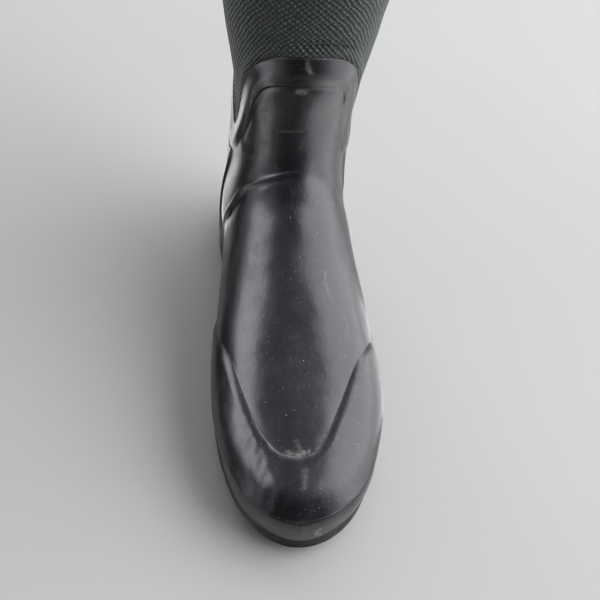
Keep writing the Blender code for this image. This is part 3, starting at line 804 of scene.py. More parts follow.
band_bm = bmesh.new()
verts, across, along = flat_sheet(band_bm, BAND_COLUMNS, BAND_ROWS)
station = blend(band_station(across), collar_station(across), 0.5 - 0.5 * np.cos(math.pi * along))
foot_gap = gap_to(band_edge, station, across)
soft, sharp = (eased_step(STEP_START + (1.0 - STEP_START) * foot_gap / width)
               for width in (SOFT_STEP, SHARP_STEP))
lift = blend(OVERLAY_LOW, OVERLAY_OUT, blend(soft, sharp, sharpness(across))) + fold_lift(station, across)
bonded = eased_step(gap_to(collar_edge, station, across) / COLLAR_FEATHER)
carry(verts, station, across, blend(COLLAR_EDGE_LIFT, lift, bonded))
band = piece_from("collar_band_skin", band_bm, shell_finish, ["collar_band"], OVERLAY_WALL)

# %% [markdown]
# ## The shaft
# The shaft is a tube of neoprene faced with knit. It tucks inside the shell and flares up the
# calf to a turned hem. The knit itself is far too fine for geometry, so it is a bump that
# follows the sheet's own texture coordinates. The slack of the tube is modelled, and so are
# the two short creases where the knit is gathered just above the front of the collar.

# %% Shaft slack
SLACK_START = 21.5
Dent = namedtuple("Dent", "around station depth spread height")
SLACK = [Dent(0.10, 23.1, 0.9, 0.10, 0.35), Dent(0.86, 22.4, 0.8, 0.09, 0.30),
         Dent(0.5, 23.6, 0.5, 0.12, 0.45), Dent(0.30, 24.6, 0.7, 0.07, 0.8),
         Dent(0.68, 24.2, 0.6, 0.06, 0.7), Dent(0.97, 24.9, 0.7, 0.08, 0.4)]


def slack_lift(station, around):
    """Soft dents where the empty tube of neoprene gives way."""
    lift = np.zeros(station.shape)
    for dent in SLACK:
        aside = np.abs(around - dent.around)
        aside = np.minimum(aside, 1.0 - aside)
        lift -= dent.depth * bell(aside, dent.spread) * bell(station - dent.station, dent.height)
    return lift * np.clip(station - SLACK_START, 0.0, 1.0)


print("dents in the shaft:", len(SLACK))

# %% Shaft skin
SHAFT_FOOT = 17.3
SHAFT_WALL = 3.9
HEM_HEIGHT = 12.0
HEM_PROUD = 0.9
HEM_STEP = 0.8
TOP_ROLL = 1.6
TOP_ROLL_DEPTH = 1.0
TUCK_EASE = 0.4
TUCK_ROWS = 1.5
SHAFT_COLUMNS = 180
SHAFT_ROWS = 220
COLLAR_BULGE = 1.5
COLLAR_BULGE_AT = 3.5
Gather = namedtuple("Gather", "above depth")
GATHERS = [Gather(7.2, 2.8), Gather(11.0, 1.2)]
GATHER_WIDTH = 1.5
GATHER_AROUND = 0.555
GATHER_SPREAD = 0.075
LEG_SPAN = SECTIONS[-1].top_z - SECTIONS[-2].top_z
leg_stations = np.linspace(SHAFT_FOOT, TOP_ROW, 200)
leg_heights = 0.5 * (column_at("top_z", leg_stations) + column_at("low_z", leg_stations))
leg_shares = (leg_heights - leg_heights[0]) / (leg_heights[-1] - leg_heights[0])

shaft_bm = bmesh.new()
verts, across, along = flat_sheet(shaft_bm, SHAFT_COLUMNS, SHAFT_ROWS)
station = np.interp(along, leg_shares, leg_stations)
from_top = (TOP_ROW - station) * LEG_SPAN
collar_row = collar_station(across)
collar_gap = gap_to(collar_edge, station, across)
collar_gap = np.where(station > collar_row, collar_gap, -collar_gap)
lift = slack_lift(station, across) - TUCK_EASE * np.clip((collar_row - station) / TUCK_ROWS, 0.0, 1.0)
lift += HEM_PROUD * eased_step((HEM_HEIGHT - from_top) / HEM_STEP + 0.5)
over_edge = 1.0 - np.clip(from_top / TOP_ROLL, 0.0, 1.0)
lift -= TOP_ROLL_DEPTH * (1.0 - np.sqrt(1.0 - over_edge ** 2))
lift += COLLAR_BULGE * bell(collar_gap - COLLAR_BULGE_AT, COLLAR_BULGE_AT)
for gather in GATHERS:
    front = np.exp(-((across - GATHER_AROUND) / GATHER_SPREAD) ** 4)
    lift -= gather.depth * front * bell(collar_gap - gather.above, GATHER_WIDTH)
carry(verts, station, across, lift)
piece_from("neoprene_shaft", shaft_bm, knit_finish, ["shaft"], SHAFT_WALL)

# %% [markdown]
# A smooth cloth lines the leg. It is a second, thinner tube just inside the neoprene, facing
# inward, and stops at the rolled hem.

# %% Leg lining
LINING_LIFT = -4.1
LINING_WALL = 0.5
LINING_TOP = 25.97
LINING_COLUMNS = 120
LINING_ROWS = 60

lining_bm = bmesh.new()
verts, across, along = flat_sheet(lining_bm, LINING_COLUMNS, LINING_ROWS)
station = blend(SHAFT_FOOT, LINING_TOP, along)
carry(verts, station, across, LINING_LIFT + slack_lift(station, across))
piece_from("leg_lining", lining_bm, lining_finish, (), LINING_WALL, facing_in=True)

# %% [markdown]
# The hem is held by one row of stitches. Each stitch is a small flattened bead of thread laid
# along the tube; a few dozen faces each are plenty for something so small.

# %% Hem stitches
STITCH_COUNT = 116
STITCH_LENGTH = 2.4
STITCH_THICK = 0.62
STITCH_FROM_TOP = 9.4
STITCH_LIFT = HEM_PROUD + 0.05
STITCH_HALVES = (0.5 * STITCH_LENGTH * MM, 0.6 * STITCH_THICK * MM, 0.5 * STITCH_THICK * MM, 1.0)
STITCH_PROBE = 0.002
stitch_row = TOP_ROW - STITCH_FROM_TOP / LEG_SPAN

stitch_bm = bmesh.new()
for number in range(STITCH_COUNT):
    around = (number + 0.5) / STITCH_COUNT
    normal = last_normal(stitch_row, around)
    middle = to_model(last_point(stitch_row, around) + STITCH_LIFT * normal)
    ahead = last_point(stitch_row, (around + STITCH_PROBE) % 1.0)
    run = Vector(ahead - last_point(stitch_row, (around - STITCH_PROBE) % 1.0)).normalized()
    out = Vector(normal)
    turn = Matrix((run, out, run.cross(out))).transposed().to_4x4()
    bmesh.ops.create_uvsphere(stitch_bm, u_segments=8, v_segments=6, radius=1.0,
                              matrix=Matrix.Translation(middle) @ turn @ Matrix.Diagonal(STITCH_HALVES))
piece_from("hem_stitches", stitch_bm, stitch_finish)

# %% [markdown]
# ## The outsole
# The sole is one moulding. Its side shows a lip, a fine line, a groove and a wall; below are
# chevron lugs, most with a thin cut across. The ring of its section is one row of a sheet, and
# the sheet runs from toe to heel. A height of the section is measured either down from the
# seat of the shell or up from the tread.

# %% Outsole profile
SOLE_SEAT = 0.5
SOLE_BOTTOM = [(0, 8.0), (19, 5.6), (34, 3.4), (54, 1.2), (72, 0), (149, 0), (172, 3.2), (196, 6.4),
               (228, 7.6), (235, 0), (302, 0), (314, 1.2)]
SideRow = namedtuple("SideRow", "name inset down up", defaults=(None,))
SIDE_ROWS = [
    SideRow("seat", 5.0, 0.0),
    SideRow("lip top", 1.0, 0.0),
    SideRow("lip round", 0.3, 0.3),
    SideRow("lip edge", 0.0, 1.0),
    SideRow("line top", 0.0, 1.8),
    SideRow("line bottom", 0.6, 2.05),
    SideRow("line foot", 0.6, 2.3),
    SideRow("lip low", 0.0, 2.6),
    SideRow("lip under", 0.0, 3.4),
    SideRow("lip turn", 0.4, 3.9),
    SideRow("groove top", 1.6, 4.3),
    SideRow("groove foot", 1.6, 5.4),
    SideRow("wall top", 0.5, 6.0),
    SideRow("wall round", 0.35, 6.5),
    SideRow("wall foot", 0.9, None, 1.4),
    SideRow("tread round", 1.3, None, 0.5),
    SideRow("tread edge", 2.0, None, 0.0),
]
OUTLINE_STEP = 0.05


def low_edge(station, outer):
    """Half width and distance from the toe of the last's low edge."""
    station = np.clip(station, 0.0, HEEL_END)
    foot = station < HEEL_END
    half = column_at("lateral" if outer else "medial", station)
    tuck = np.where(foot, np.maximum(0.0, column_at("tuck", station)), 0.0)
    along = np.where(foot, column_at("low_y", station), SECTIONS[HEEL_END].low_y)
    return np.stack([half * tuck, along], axis=-1)


def sole_line(station, outer, out):
    """Plan points of the sole line: the low edge of the last, moved outward square to itself."""
    run = low_edge(station + OUTLINE_STEP, outer) - low_edge(station - OUTLINE_STEP, outer)
    normal = np.stack([run[..., 1], -run[..., 0]], axis=-1)
    normal /= np.linalg.norm(normal, axis=-1, keepdims=True)
    normal = np.where((station < OUTLINE_STEP)[:, None], np.array([0.0, -1.0]), normal)
    normal = np.where((station > HEEL_END - OUTLINE_STEP)[:, None], np.array([0.0, 1.0]), normal)
    point = low_edge(station, outer) + out[:, None] * normal
    return point if outer else point * np.array([-1.0, 1.0])


print("rows down the side of the sole:", len(SIDE_ROWS))

# %% Outsole body
SOLE_ROWS = 150
RIM_EASE = 1.0
RIM_EASE_AT = 3.4
RIM_EASE_SPREAD = 1.6
ring_count = 2 * len(SIDE_ROWS)

sole_bm = bmesh.new()
verts, across, along = flat_sheet(sole_bm, ring_count, SOLE_ROWS)
station = HEEL_END * along
ring_place = np.round(across * ring_count).astype(int) % ring_count
top = np.where(station < HEEL_END, column_at("low_z", station), SECTIONS[HEEL_END].low_z) - SOLE_SEAT
rim = column_at("rim", station) - RIM_EASE * bell(station - RIM_EASE_AT, RIM_EASE_SPREAD)
places = np.zeros((len(station), 3))
for outer in (False, True):
    bottom = on_line(SOLE_BOTTOM, sole_line(station, outer, rim)[:, 1])
    for number, row in enumerate(SIDE_ROWS):
        here = ring_place == (ring_count - 1 - number if outer else number)
        height = top - row.down if row.up is None else bottom + row.up
        places[here] = np.column_stack([sole_line(station, outer, rim - row.inset), height])[here]
move(verts, places)
sole = piece_from("outsole_moulding", sole_bm, sole_finish, ["outsole"])

# %% [markdown]
# The grooves between the lugs are cut with a Boolean, as a mould's bars would leave them.
# Each bar is a bent strip, drawn flat and extruded upward.

# %% Grooves between the lugs
Groove = namedtuple("Groove", "width depth from_toe")
GROOVES = [Groove(6.5, 4.5, (38,)), Groove(7.0, 4.5, (59, 80, 101, 122)), Groove(6.0, 4.5, (244, 262, 280)),
           Groove(1.3, 2.0, (51, 72, 93, 114)), Groove(1.2, 2.0, (255.4, 273.4))]
GROOVE_REACH = 80.0
GROOVE_SWEEP = 24.0
CUT_CLEARANCE = 6.0
LUG_CORNER = math.radians(38.0)
BEND = [(-GROOVE_REACH, GROOVE_SWEEP), (0.0, 0.0), (GROOVE_REACH, GROOVE_SWEEP)]

cut_bm = bmesh.new()
for groove in GROOVES:
    for start in groove.from_toe:
        low = on_line(SOLE_BOTTOM, start) - CUT_CLEARANCE
        front = [(x, start + y, low) for x, y in BEND]
        rear = [(x, start + groove.width + y, low) for x, y in BEND]
        outline = [cut_bm.verts.new(place) for place in to_model(front + rear[::-1])]
        sweep = bmesh.ops.extrude_face_region(cut_bm, geom=[cut_bm.faces.new(outline)])
        raised = [item for item in sweep["geom"] if isinstance(item, bmesh.types.BMVert)]
        bmesh.ops.translate(cut_bm, verts=raised, vec=Vector((0.0, 0.0, (CUT_CLEARANCE + groove.depth) * MM)))
bmesh.ops.recalc_face_normals(cut_bm, faces=cut_bm.faces)
bars = object_from("groove_bars", cut_bm)
cut = sole.modifiers.new("grooves", "BOOLEAN")
cut.operation = "DIFFERENCE"
cut.solver = "EXACT"
cut.object = bars
bpy.context.view_layer.update()
cut_sole = bpy.data.meshes.new_from_object(sole.evaluated_get(bpy.context.evaluated_depsgraph_get()))
sole.modifiers.remove(cut)
sole.data = cut_sole
bpy.data.objects.remove(bars)
cut_sole.set_sharp_from_angle(angle=LUG_CORNER)
print("outsole after cutting: %d faces" % len(cut_sole.polygons))

# %% [markdown]
# ## Scuffs
# Marks of use are painted as strokes on the last: a pale rub at the point of the V,
# a streak below it, a curl on the bumper and a few scratches. Dust lies along both arms of
# the V. Every point of a skin gets a number for how scuffed it is, and the rubber's finish
# turns that number into a chalky grey.

# %% Scuff strokes
Stroke = namedtuple("Stroke", "name lift width strength places")
STROKES = [
    Stroke("rub at the V", 3.0, 1.7, 0.75, [(3.08, 0.462), (3.0, 0.49), (3.02, 0.505), (3.09, 0.517)]),
    Stroke("rub at the V, spur", 3.0, 0.9, 0.9, [(3.40, 0.494), (3.12, 0.506), (3.0, 0.515)]),
    Stroke("toe streak", 4.3, 1.8, 0.22, [(2.45, 0.510), (2.1, 0.511), (1.75, 0.508)]),
    Stroke("collar mark", 3.6, 1.3, 0.6, [(21.42, 0.500), (21.1, 0.503), (20.9, 0.514)]),
    Stroke("band rub", 3.0, 1.6, 0.7, [(19.8, 0.486), (19.83, 0.50), (19.8, 0.512)]),
    Stroke("ankle scratch", 2.5, 0.6, 0.22, [(16.56, 0.441), (16.5, 0.48), (16.51, 0.53)]),
    Stroke("instep lip", 3.8, 1.0, 0.35, [(11.99, 0.39), (12.05, 0.43), (12.18, 0.468)]),
    Stroke("vamp scratch", 2.5, 0.7, 0.3, [(7.4, 0.60), (7.9, 0.585), (8.3, 0.592)]),
    Stroke("vamp curl", 2.5, 0.6, 0.14, [(6.2, 0.62), (6.5, 0.64), (6.9, 0.635), (7.0, 0.61)]),
    Stroke("bumper curl", 8.8, 0.8, 0.95,
           [(0.60, 0.805), (0.50, 0.815), (0.46, 0.85), (0.52, 0.89), (0.62, 0.90)]),
    Stroke("bumper chip", 8.0, 1.0, 0.6, [(1.35, 0.165), (1.30, 0.150)]),
]
for name, first, last in (("dust in the V, inner arm", 0.34, 0.45), ("dust in the V, outer arm", 0.53, 0.62)):
    arounds = np.linspace(first, last, 9)
    STROKES.append(Stroke(name, 3.2, 1.1, 0.28, list(zip(cap_station(arounds), arounds))))
STROKE_FINENESS = 8


def paint_scuffs(piece):
    """Writes how scuffed each point of a piece is as the attribute scuff."""
    mesh = piece.data
    spots = np.zeros(3 * len(mesh.vertices))
    mesh.vertices.foreach_get("co", spots)
    spots = spots.reshape(-1, 3)
    scuff = np.zeros(len(spots))
    for stroke in STROKES:
        _, station, around = drawn_out(stroke.places, STROKE_FINENESS)
        line = to_model(last_point(station, around) + stroke.lift * last_normal(station, around))
        gap, _ = line_distance(spots, line)
        scuff = np.maximum(scuff, stroke.strength * bell(gap, stroke.width * MM))
    layer = mesh.attributes.new("scuff", "FLOAT", "POINT")
    layer.data.foreach_set("value", scuff)


for piece in (shell, toe_cap, bumper, counter, band):
    paint_scuffs(piece)
print("strokes painted:", len(STROKES))

# %% [markdown]
# ## Finishes
# A finish is a small graph of nodes. In these helpers a signal stands for one output of a
# node. Adding or multiplying signals adds the nodes that work the sum out, so the recipes
# further down read as plain sums.

# %% Signals
class Signal:
    """An output of a node. Sums and products of signals add the nodes that work them out."""

    def __init__(self, made, output=0):
        self.tree = made.id_data
        self.socket = made.outputs[output]

    def math(self, operation, other=0.0):
        return Signal(add_node(self.tree, "Math", {"operation": operation}, {0: self, 1: other}))

    def __add__(self, other):
        return self.math("ADD", other)

    def __sub__(self, other):
        return self.math("SUBTRACT", other)

    def __mul__(self, other):
        return self.math("MULTIPLY", other)

    def ramp(self, low, high, to_low=0.0, to_high=1.0):
        """The signal spread from one range to another, held at both ends."""
        return Signal(add_node(self.tree, "MapRange", {}, {0: self, 1: low, 2: high, 3: to_low, 4: to_high}))


def set_inputs(target, inputs):
    """Sets a node's inputs to values, or links them to signals."""
    for key, value in inputs.items():
        if isinstance(value, Signal):
            target.id_data.links.new(value.socket, target.inputs[key])
        else:
            target.inputs[key].default_value = value


def add_node(tree, kind, settings, inputs):
    made = tree.nodes.new("ShaderNode" + kind)
    for name, value in settings.items():
        setattr(made, name, value)
    set_inputs(made, inputs)
    return made


print("signals can be added, subtracted, multiplied and spread by a ramp")

# %% Textures, mixes and bumps
Noise = namedtuple("Noise", "Scale Detail Roughness Distortion", defaults=(2.0, 0.5, 0.0))
Spots = namedtuple("Spots", "scale least reach softness share")


def noise(place, kind):
    return Signal(add_node(place.tree, "TexNoise", {}, {"Vector": place, **kind._asdict()}), "Fac")


def spots(place, kind):
    """Scattered round spots, of a size that differs from spot to spot."""
    cells = add_node(place.tree, "TexVoronoi", {}, {"Vector": place, "Scale": kind.scale})
    chance = Signal(add_node(place.tree, "SeparateColor", {}, {0: Signal(cells, "Color")}))
    size = chance.ramp(kind.least, 1.0, 0.0, kind.reach)
    return (size - Signal(cells, "Distance")).ramp(0.0, kind.softness)


def mixed(share, first, second):
    """Two colours mixed by a share."""
    return Signal(add_node(share.tree, "Mix", {"data_type": "RGBA"}, {0: share, 6: first, 7: second}), 2)


def bump(height, strength, depth):
    """A bump for a shader's normal."""
    inputs = {"Strength": strength, "Distance": depth, "Height": height}
    return Signal(add_node(height.tree, "Bump", {}, inputs))


def surface_of(finish):
    """A finish's shader, and the place on the piece in the piece's own coordinates."""
    tree = finish.node_tree
    return tree.nodes["Principled BSDF"], Signal(add_node(tree, "TexCoord", {}, {}), "Object")


print("a noise has", ", ".join(Noise._fields))

# %% [markdown]
# ### Black rubber
# Vulcanised rubber is black with a satin skin. Handling leaves it uneven: smoother where it
# is rubbed, duller where a film of dust sits or a hand has wiped it. Over that lie pale
# specks of dust, thicker near the sole, fine scratches and the painted scuffs. A weak grain
# in the bump breaks up the reflections. The ranges below are where a value begins and where
# it has its full effect.

# %% Colours and textures of rubber
DEEP_BLACK = (0.0042, 0.0043, 0.0058, 1.0)
WORN_BLACK = (0.0100, 0.0102, 0.0124, 1.0)
DUST = (0.34, 0.335, 0.32, 1.0)
CHALK = (0.36, 0.36, 0.345, 1.0)
LOW_DUST = (0.085, 0.080, 0.075, 1.0)
GLOSS_TINT = (0.92, 0.93, 1.0, 1.0)
CLOUD = Noise(22.0, 4.0, 0.55)
PATCH = Noise(95.0, 5.0, 0.6)
GRIT = Noise(420.0, 5.0, 0.7)
WIPED = Noise(42.0, 4.0, 0.55, 2.2)
GRAIN = Noise(1400.0, 3.0, 0.6)
PEBBLE = Noise(420.0, 2.0, 0.5)
LUMPS = Noise(150.0, 3.0, 0.5)
SPECKS = Spots(340.0, 0.55, 0.14, 0.05, 0.6)
LINT = Spots(560.0, 0.50, 0.22, 0.08, 0.28)
LOW_GRIT = Spots(700.0, 0.45, 0.21, 0.07, 0.5)
WORN_RANGE = (0.3, 0.75)
DUSTY_RANGE = (0.033, 0.024)
CLEAN_RANGE = (0.013, 0.018)
PATCHY_RANGE = (0.3, 0.7, 0.45, 1.0)
LOW_GRIT_RANGE = (0.058, 0.032)
GRIT_RANGE = (0.36, 0.64)
GLOSS_RANGE = (0.3, 0.72)
WIPED_RANGE = (0.38, 0.6)
HAIR_RANGE = (0.5, 0.65)
CHALK_SHARE = 0.75
WIPE_WIDTH = 0.035
WIPE_DULL = 0.09
DUST_DULL = 0.3
DULLEST = 0.95
HAIR_STRETCH = (1.0, 0.22, 0.6)
HAIR_SCALE = 120.0
HAIR_WIDTH = 0.012
GRAIN_HIGH = 0.18
PEBBLE_HIGH = 0.32
HAIR_HIGH = -0.3
SPECK_HIGH = 0.5
print("specks of dust: %d cells a metre" % SPECKS.scale)

# %% Black rubber finish
Compound = namedtuple("Compound", "glossiest dullest low_dust ior coat")


def rubber(finish, compound):
    shader, place = surface_of(finish)
    cloud, patch = noise(place, CLOUD), noise(place, PATCH)
    height_up = Signal(add_node(place.tree, "SeparateXYZ", {}, {0: place}), "Z")
    low = height_up.ramp(*DUSTY_RANGE) * height_up.ramp(*CLEAN_RANGE) * patch.ramp(*PATCHY_RANGE)
    speck = spots(place, SPECKS)
    low_grit = spots(place, LOW_GRIT) * height_up.ramp(*LOW_GRIT_RANGE)
    dusty = (speck * SPECKS.share).math("MAXIMUM", spots(place, LINT) * LINT.share)
    dusty = dusty.math("MAXIMUM", low_grit * LOW_GRIT.share)
    scuff = Signal(add_node(place.tree, "Attribute", {"attribute_name": "scuff"}, {}), "Fac")
    chalky = scuff * noise(place, GRIT).ramp(*GRIT_RANGE)
    colour = mixed(cloud.ramp(*WORN_RANGE), DEEP_BLACK, WORN_BLACK)
    colour = mixed(low * compound.low_dust, colour, LOW_DUST)
    colour = mixed(chalky * CHALK_SHARE, mixed(dusty, colour, DUST), CHALK)
    smear = (noise(place, WIPED) - 0.5).math("ABSOLUTE").ramp(0.0, WIPE_WIDTH, 1.0, 0.0)
    rough = patch.ramp(*GLOSS_RANGE, compound.glossiest, compound.dullest)
    rough += smear * cloud.ramp(*WIPED_RANGE) * WIPE_DULL
    rough = (rough + dusty * DUST_DULL + chalky * DUST_DULL).math("MINIMUM", DULLEST)
    stretched = Signal(add_node(place.tree, "Mapping", {}, {"Vector": place, "Scale": HAIR_STRETCH}))
    hair = add_node(place.tree, "TexVoronoi", {"feature": "DISTANCE_TO_EDGE"},
                    {"Vector": stretched, "Scale": HAIR_SCALE})
    hairline = Signal(hair, "Distance").ramp(0.0, HAIR_WIDTH, 1.0, 0.0) * patch.ramp(*HAIR_RANGE)
    height = noise(place, GRAIN) * GRAIN_HIGH + noise(place, LUMPS) + noise(place, PEBBLE) * PEBBLE_HIGH
    height = height + hairline * HAIR_HIGH + speck * SPECK_HIGH
    set_inputs(shader, {"Base Color": colour, "Roughness": rough, "Normal": bump(height, 0.5, 0.00028),
                        "IOR": compound.ior, "Specular Tint": GLOSS_TINT,
                        "Coat Weight": compound.coat, "Coat Roughness": 0.2})


rubber(shell_finish, Compound(0.27, 0.38, 0.8, 1.55, 0.08))
print("black rubber:", len(shell_finish.node_tree.nodes), "nodes")

# %% [markdown]
# ### Sole rubber
# The sole is a harder, duller compound, with a little dust caught along its lines.

# %% Sole rubber finish
rubber(sole_finish, Compound(0.42, 0.6, 0.15, 1.4, 0.0))
print("sole rubber:", len(sole_finish.node_tree.nodes), "nodes")

# %% [markdown]
# ### Knit
# The face of the neoprene is a fine knit in dark green. Its loops stand in slanting rows, so
# two sets of diagonal waves on the sheet's own coordinates make a lattice of raised loops
# with pits between. The colour is painted light and shade: the loop tops are painted lit and
# the pits are painted in shade. The counts are whole numbers, so the pattern closes round the leg.
# The loops and their painted shade are crisp at the inner front and softer elsewhere, which
# paints the outer side as if the light fell on it.

# %% Green knit finish
WALES = 58
COURSES = 60
WOBBLE = Noise(85.0)
WOBBLE_WALES = 1.1
PULL = Noise(60.0)
PULL_COURSES = 1.3
SLANT_SHIFT = 0.06
LEAN_SHARE = 0.34
# where the relief and the painted shade of the pits are crispest; away from it both soften, a painted
# stand-in for light on the outer side
CRISP_RELIEF_AND_SHADE_AT = 0.40
CRISP_RELIEF_AND_SHADE_RANGE = (0.13, 0.27, 0.5, 0.25)
FUZZ = Noise(2200.0, 3.0, 0.65)
LOOSE = Noise(480.0, 4.0, 0.75)
BLOTCH = Noise(55.0, 4.0, 0.6)
# painted shade: the yarn as it looks in shade, for the pits between the loops
SHADED_YARN = (0.0022, 0.0034, 0.0031, 1.0)
# painted highlight: the same yarn as it looks lit, for the loop tops
LIT_YARN = (0.066, 0.088, 0.080, 1.0)
YARN_DUSTY = (0.13, 0.145, 0.13, 1.0)
YARN_SHEEN = (0.85, 1.0, 0.95, 1.0)
LIT_RANGE = (0.40, 0.88)
LIT_LOOSE_RANGE = (0.38, 0.62, 0.08, 1.0)
TIP_RANGE = (0.62, 0.95)
TIP_BLOTCH_RANGE = (0.4, 0.66, 0.1, 1.0)
TIP_LOOSE_RANGE = (0.46, 0.62)
TIP_SHARE = 0.75
FUZZ_HIGH = 0.15
LOOSE_HIGH = 0.35


def wave(turns):
    """A wave that repeats with every whole turn."""
    return (turns * (2.0 * math.pi)).math("SINE")


def knit(finish):
    shader, place = surface_of(finish)
    sheet = Signal(add_node(place.tree, "UVMap", {"uv_map": "UVMap"}, {}))
    parts = add_node(place.tree, "SeparateXYZ", {}, {0: sheet})
    round_leg, up_leg = Signal(parts, "X"), Signal(parts, "Y")
    wale = round_leg * WALES + noise(place, WOBBLE) * WOBBLE_WALES
    course = up_leg * COURSES + noise(place, PULL) * PULL_COURSES
    lean = wave(round_leg + SLANT_SHIFT) * LEAN_SHARE + 0.5
    loops = wave(wale - course) * lean + wave(wale + course) * (lean * -1.0 + 1.0)
    loops = loops * (round_leg - CRISP_RELIEF_AND_SHADE_AT).math("ABSOLUTE").ramp(*CRISP_RELIEF_AND_SHADE_RANGE) + 0.5
    loose = noise(place, LOOSE)
    # painted light and shade: loop tops take the lit yarn colour, pits the shaded one
    lit = loops.ramp(*LIT_RANGE) * loose.ramp(*LIT_LOOSE_RANGE)
    worn = loops.ramp(*TIP_RANGE) * loose.ramp(*TIP_LOOSE_RANGE)
    worn *= noise(place, BLOTCH).ramp(*TIP_BLOTCH_RANGE)
    colour = mixed(worn * TIP_SHARE, mixed(lit, SHADED_YARN, LIT_YARN), YARN_DUSTY)
    height = noise(place, FUZZ) * FUZZ_HIGH + loose * LOOSE_HIGH + loops
    set_inputs(shader, {"Base Color": colour, "Roughness": 0.85, "Normal": bump(height, 1.0, 0.0010),
                        "Sheen Weight": 0.22, "Sheen Roughness": 0.35, "Sheen Tint": YARN_SHEEN})


knit(knit_finish)
print("knit: %d wales by %d courses" % (WALES, COURSES))

# %% [markdown]
# ### Lining, footbed and thread
# The lining is a close woven cloth and the footbed a felted one, both dark and matt. The hem
# thread is a shade lighter than the knit, so the row of stitches reads.

# %% Cloth finishes
CLOTH_FUZZ = Noise(1800.0, 4.0, 0.65)
CLOTH_BLOTCH = Noise(35.0, 4.0, 0.6)
CLOTH_RANGE = (0.1, 0.75)
WEAVE_TONE = 0.3
WEAVE_HIGH = 0.5


def cloth(finish, dark, light, threads, roughness):
    shader, place = surface_of(finish)
    weave = Signal(add_node(place.tree, "TexChecker", {}, {"Vector": place, "Scale": threads}), "Fac")
    fuzz = noise(place, CLOTH_FUZZ)
    share = (weave * WEAVE_TONE + fuzz) * noise(place, CLOTH_BLOTCH)
    set_inputs(shader, {"Base Color": mixed(share.ramp(*CLOTH_RANGE), dark, light), "Roughness": roughness,
                        "Sheen Weight": 0.2, "Normal": bump(weave * WEAVE_HIGH + fuzz, 0.6, 0.0003)})


cloth(lining_finish, (0.010, 0.011, 0.011, 1.0), (0.045, 0.048, 0.047, 1.0), 900.0, 0.9)
cloth(footbed_finish, (0.03, 0.03, 0.03, 1.0), (0.11, 0.11, 0.105, 1.0), 700.0, 0.92)
cloth(stitch_finish, (0.02, 0.027, 0.024, 1.0), (0.09, 0.11, 0.10, 1.0), 2500.0, 0.7)
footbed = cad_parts["insole"]
footbed.data.materials.clear()
footbed.data.materials.append(footbed_finish)
print("cloth finishes: lining, footbed, thread")

# %% [markdown]
# ## Studio
# The boot stands on a plain, pale floor without any shine.

# %% Floor
FLOOR_RADIUS = 2.7
FLOOR_CLOUD = Noise(3.0, 3.0, 0.5)
FLOOR_DARK = (0.328, 0.326, 0.326, 1.0)
FLOOR_LIGHT = (0.352, 0.350, 0.350, 1.0)

floor_bm = bmesh.new()
bmesh.ops.create_circle(floor_bm, cap_ends=True, radius=FLOOR_RADIUS, segments=96)
floor = object_from("floor", floor_bm)
floor_finish = new_finish("pale_floor")
shader, place = surface_of(floor_finish)
set_inputs(shader, {"Base Color": mixed(noise(place, FLOOR_CLOUD), FLOOR_DARK, FLOOR_LIGHT),
                    "Roughness": 0.9, "Specular IOR Level": 0.0})
floor.data.materials.append(floor_finish)
print("floor: %.1f m across" % (2.0 * FLOOR_RADIUS))

# %% [markdown]
# A broad soft light on the outer side and a narrower one on the inner side leave the long
# pale reflections and the dark band between them that show how the rubber curves. How bright
# a thing is lit and how bright its reflections are can be set apart: some boxes only light,
# and one only shines.

# %% Soft lights
TARGET = Vector((0.0, -0.03, 0.08))
SoftBox = namedtuple("SoftBox", "name azimuth elevation distance width height radiance lights shines")
SOFT_BOXES = [
    SoftBox("outer side", 87.0, 31.0, 3.0, 4.9, 4.2, 3.9, True, True),
    SoftBox("inner gleam", -77.0, 32.0, 3.0, 3.0, 2.2, 4.8, False, True),
    SoftBox("inner fill", -77.0, 32.0, 3.0, 3.0, 2.2, 1.5, True, False),
    SoftBox("outer fill", 100.0, 36.0, 3.0, 2.6, 2.6, 2.6, True, False),
    SoftBox("behind", 4.0, 34.0, 3.0, 3.4, 2.0, 3.6, True, True),
]


def toward(azimuth, elevation):
    """The direction at an angle from straight back, turning to the outer side, and upward."""
    azimuth, elevation = math.radians(azimuth), math.radians(elevation)
    level = math.cos(elevation)
    return Vector((math.sin(azimuth) * level, math.cos(azimuth) * level, math.sin(elevation)))


for box in SOFT_BOXES:
    away = toward(box.azimuth, box.elevation)
    lamp = bpy.data.lights.new(box.name, "AREA")
    lamp.shape = "RECTANGLE"
    lamp.size = box.width
    lamp.size_y = box.height
    lamp.energy = box.radiance * box.width * box.height * math.pi
    stand = bpy.data.objects.new(box.name, lamp)
    stand.location = TARGET + box.distance * away
    stand.rotation_euler = away.to_track_quat("Z", "Y").to_euler()
    stand.visible_camera = False
    stand.visible_diffuse = box.lights
    stand.visible_glossy = box.shines
    bpy.context.scene.collection.objects.link(stand)
print("soft boxes:", ", ".join(box.name for box in SOFT_BOXES))

# %% [markdown]
# The room is dim overhead and pale near the floor, and the colours are shown as they are.

# %% Room
ROOM_STEPS = [(0.06, (0.52, 0.52, 0.53, 1.0)), (0.32, (0.37, 0.37, 0.38, 1.0))]
world = bpy.data.worlds.new("studio")
world.use_nodes = True
room = world.node_tree
direction = Signal(add_node(room, "TexCoord", {}, {}), "Generated")
upward = Signal(add_node(room, "SeparateXYZ", {}, {0: direction}), "Z")
shades = add_node(room, "ValToRGB", {}, {"Fac": upward})
for element, (position, colour) in zip(shades.color_ramp.elements, ROOM_STEPS):
    element.position = position
    element.color = colour
set_inputs(room.nodes["Background"], {"Color": Signal(shades, "Color")})
bpy.context.scene.world = world
bpy.context.scene.view_settings.view_transform = "Standard"
print("shades of the room:", len(ROOM_STEPS))
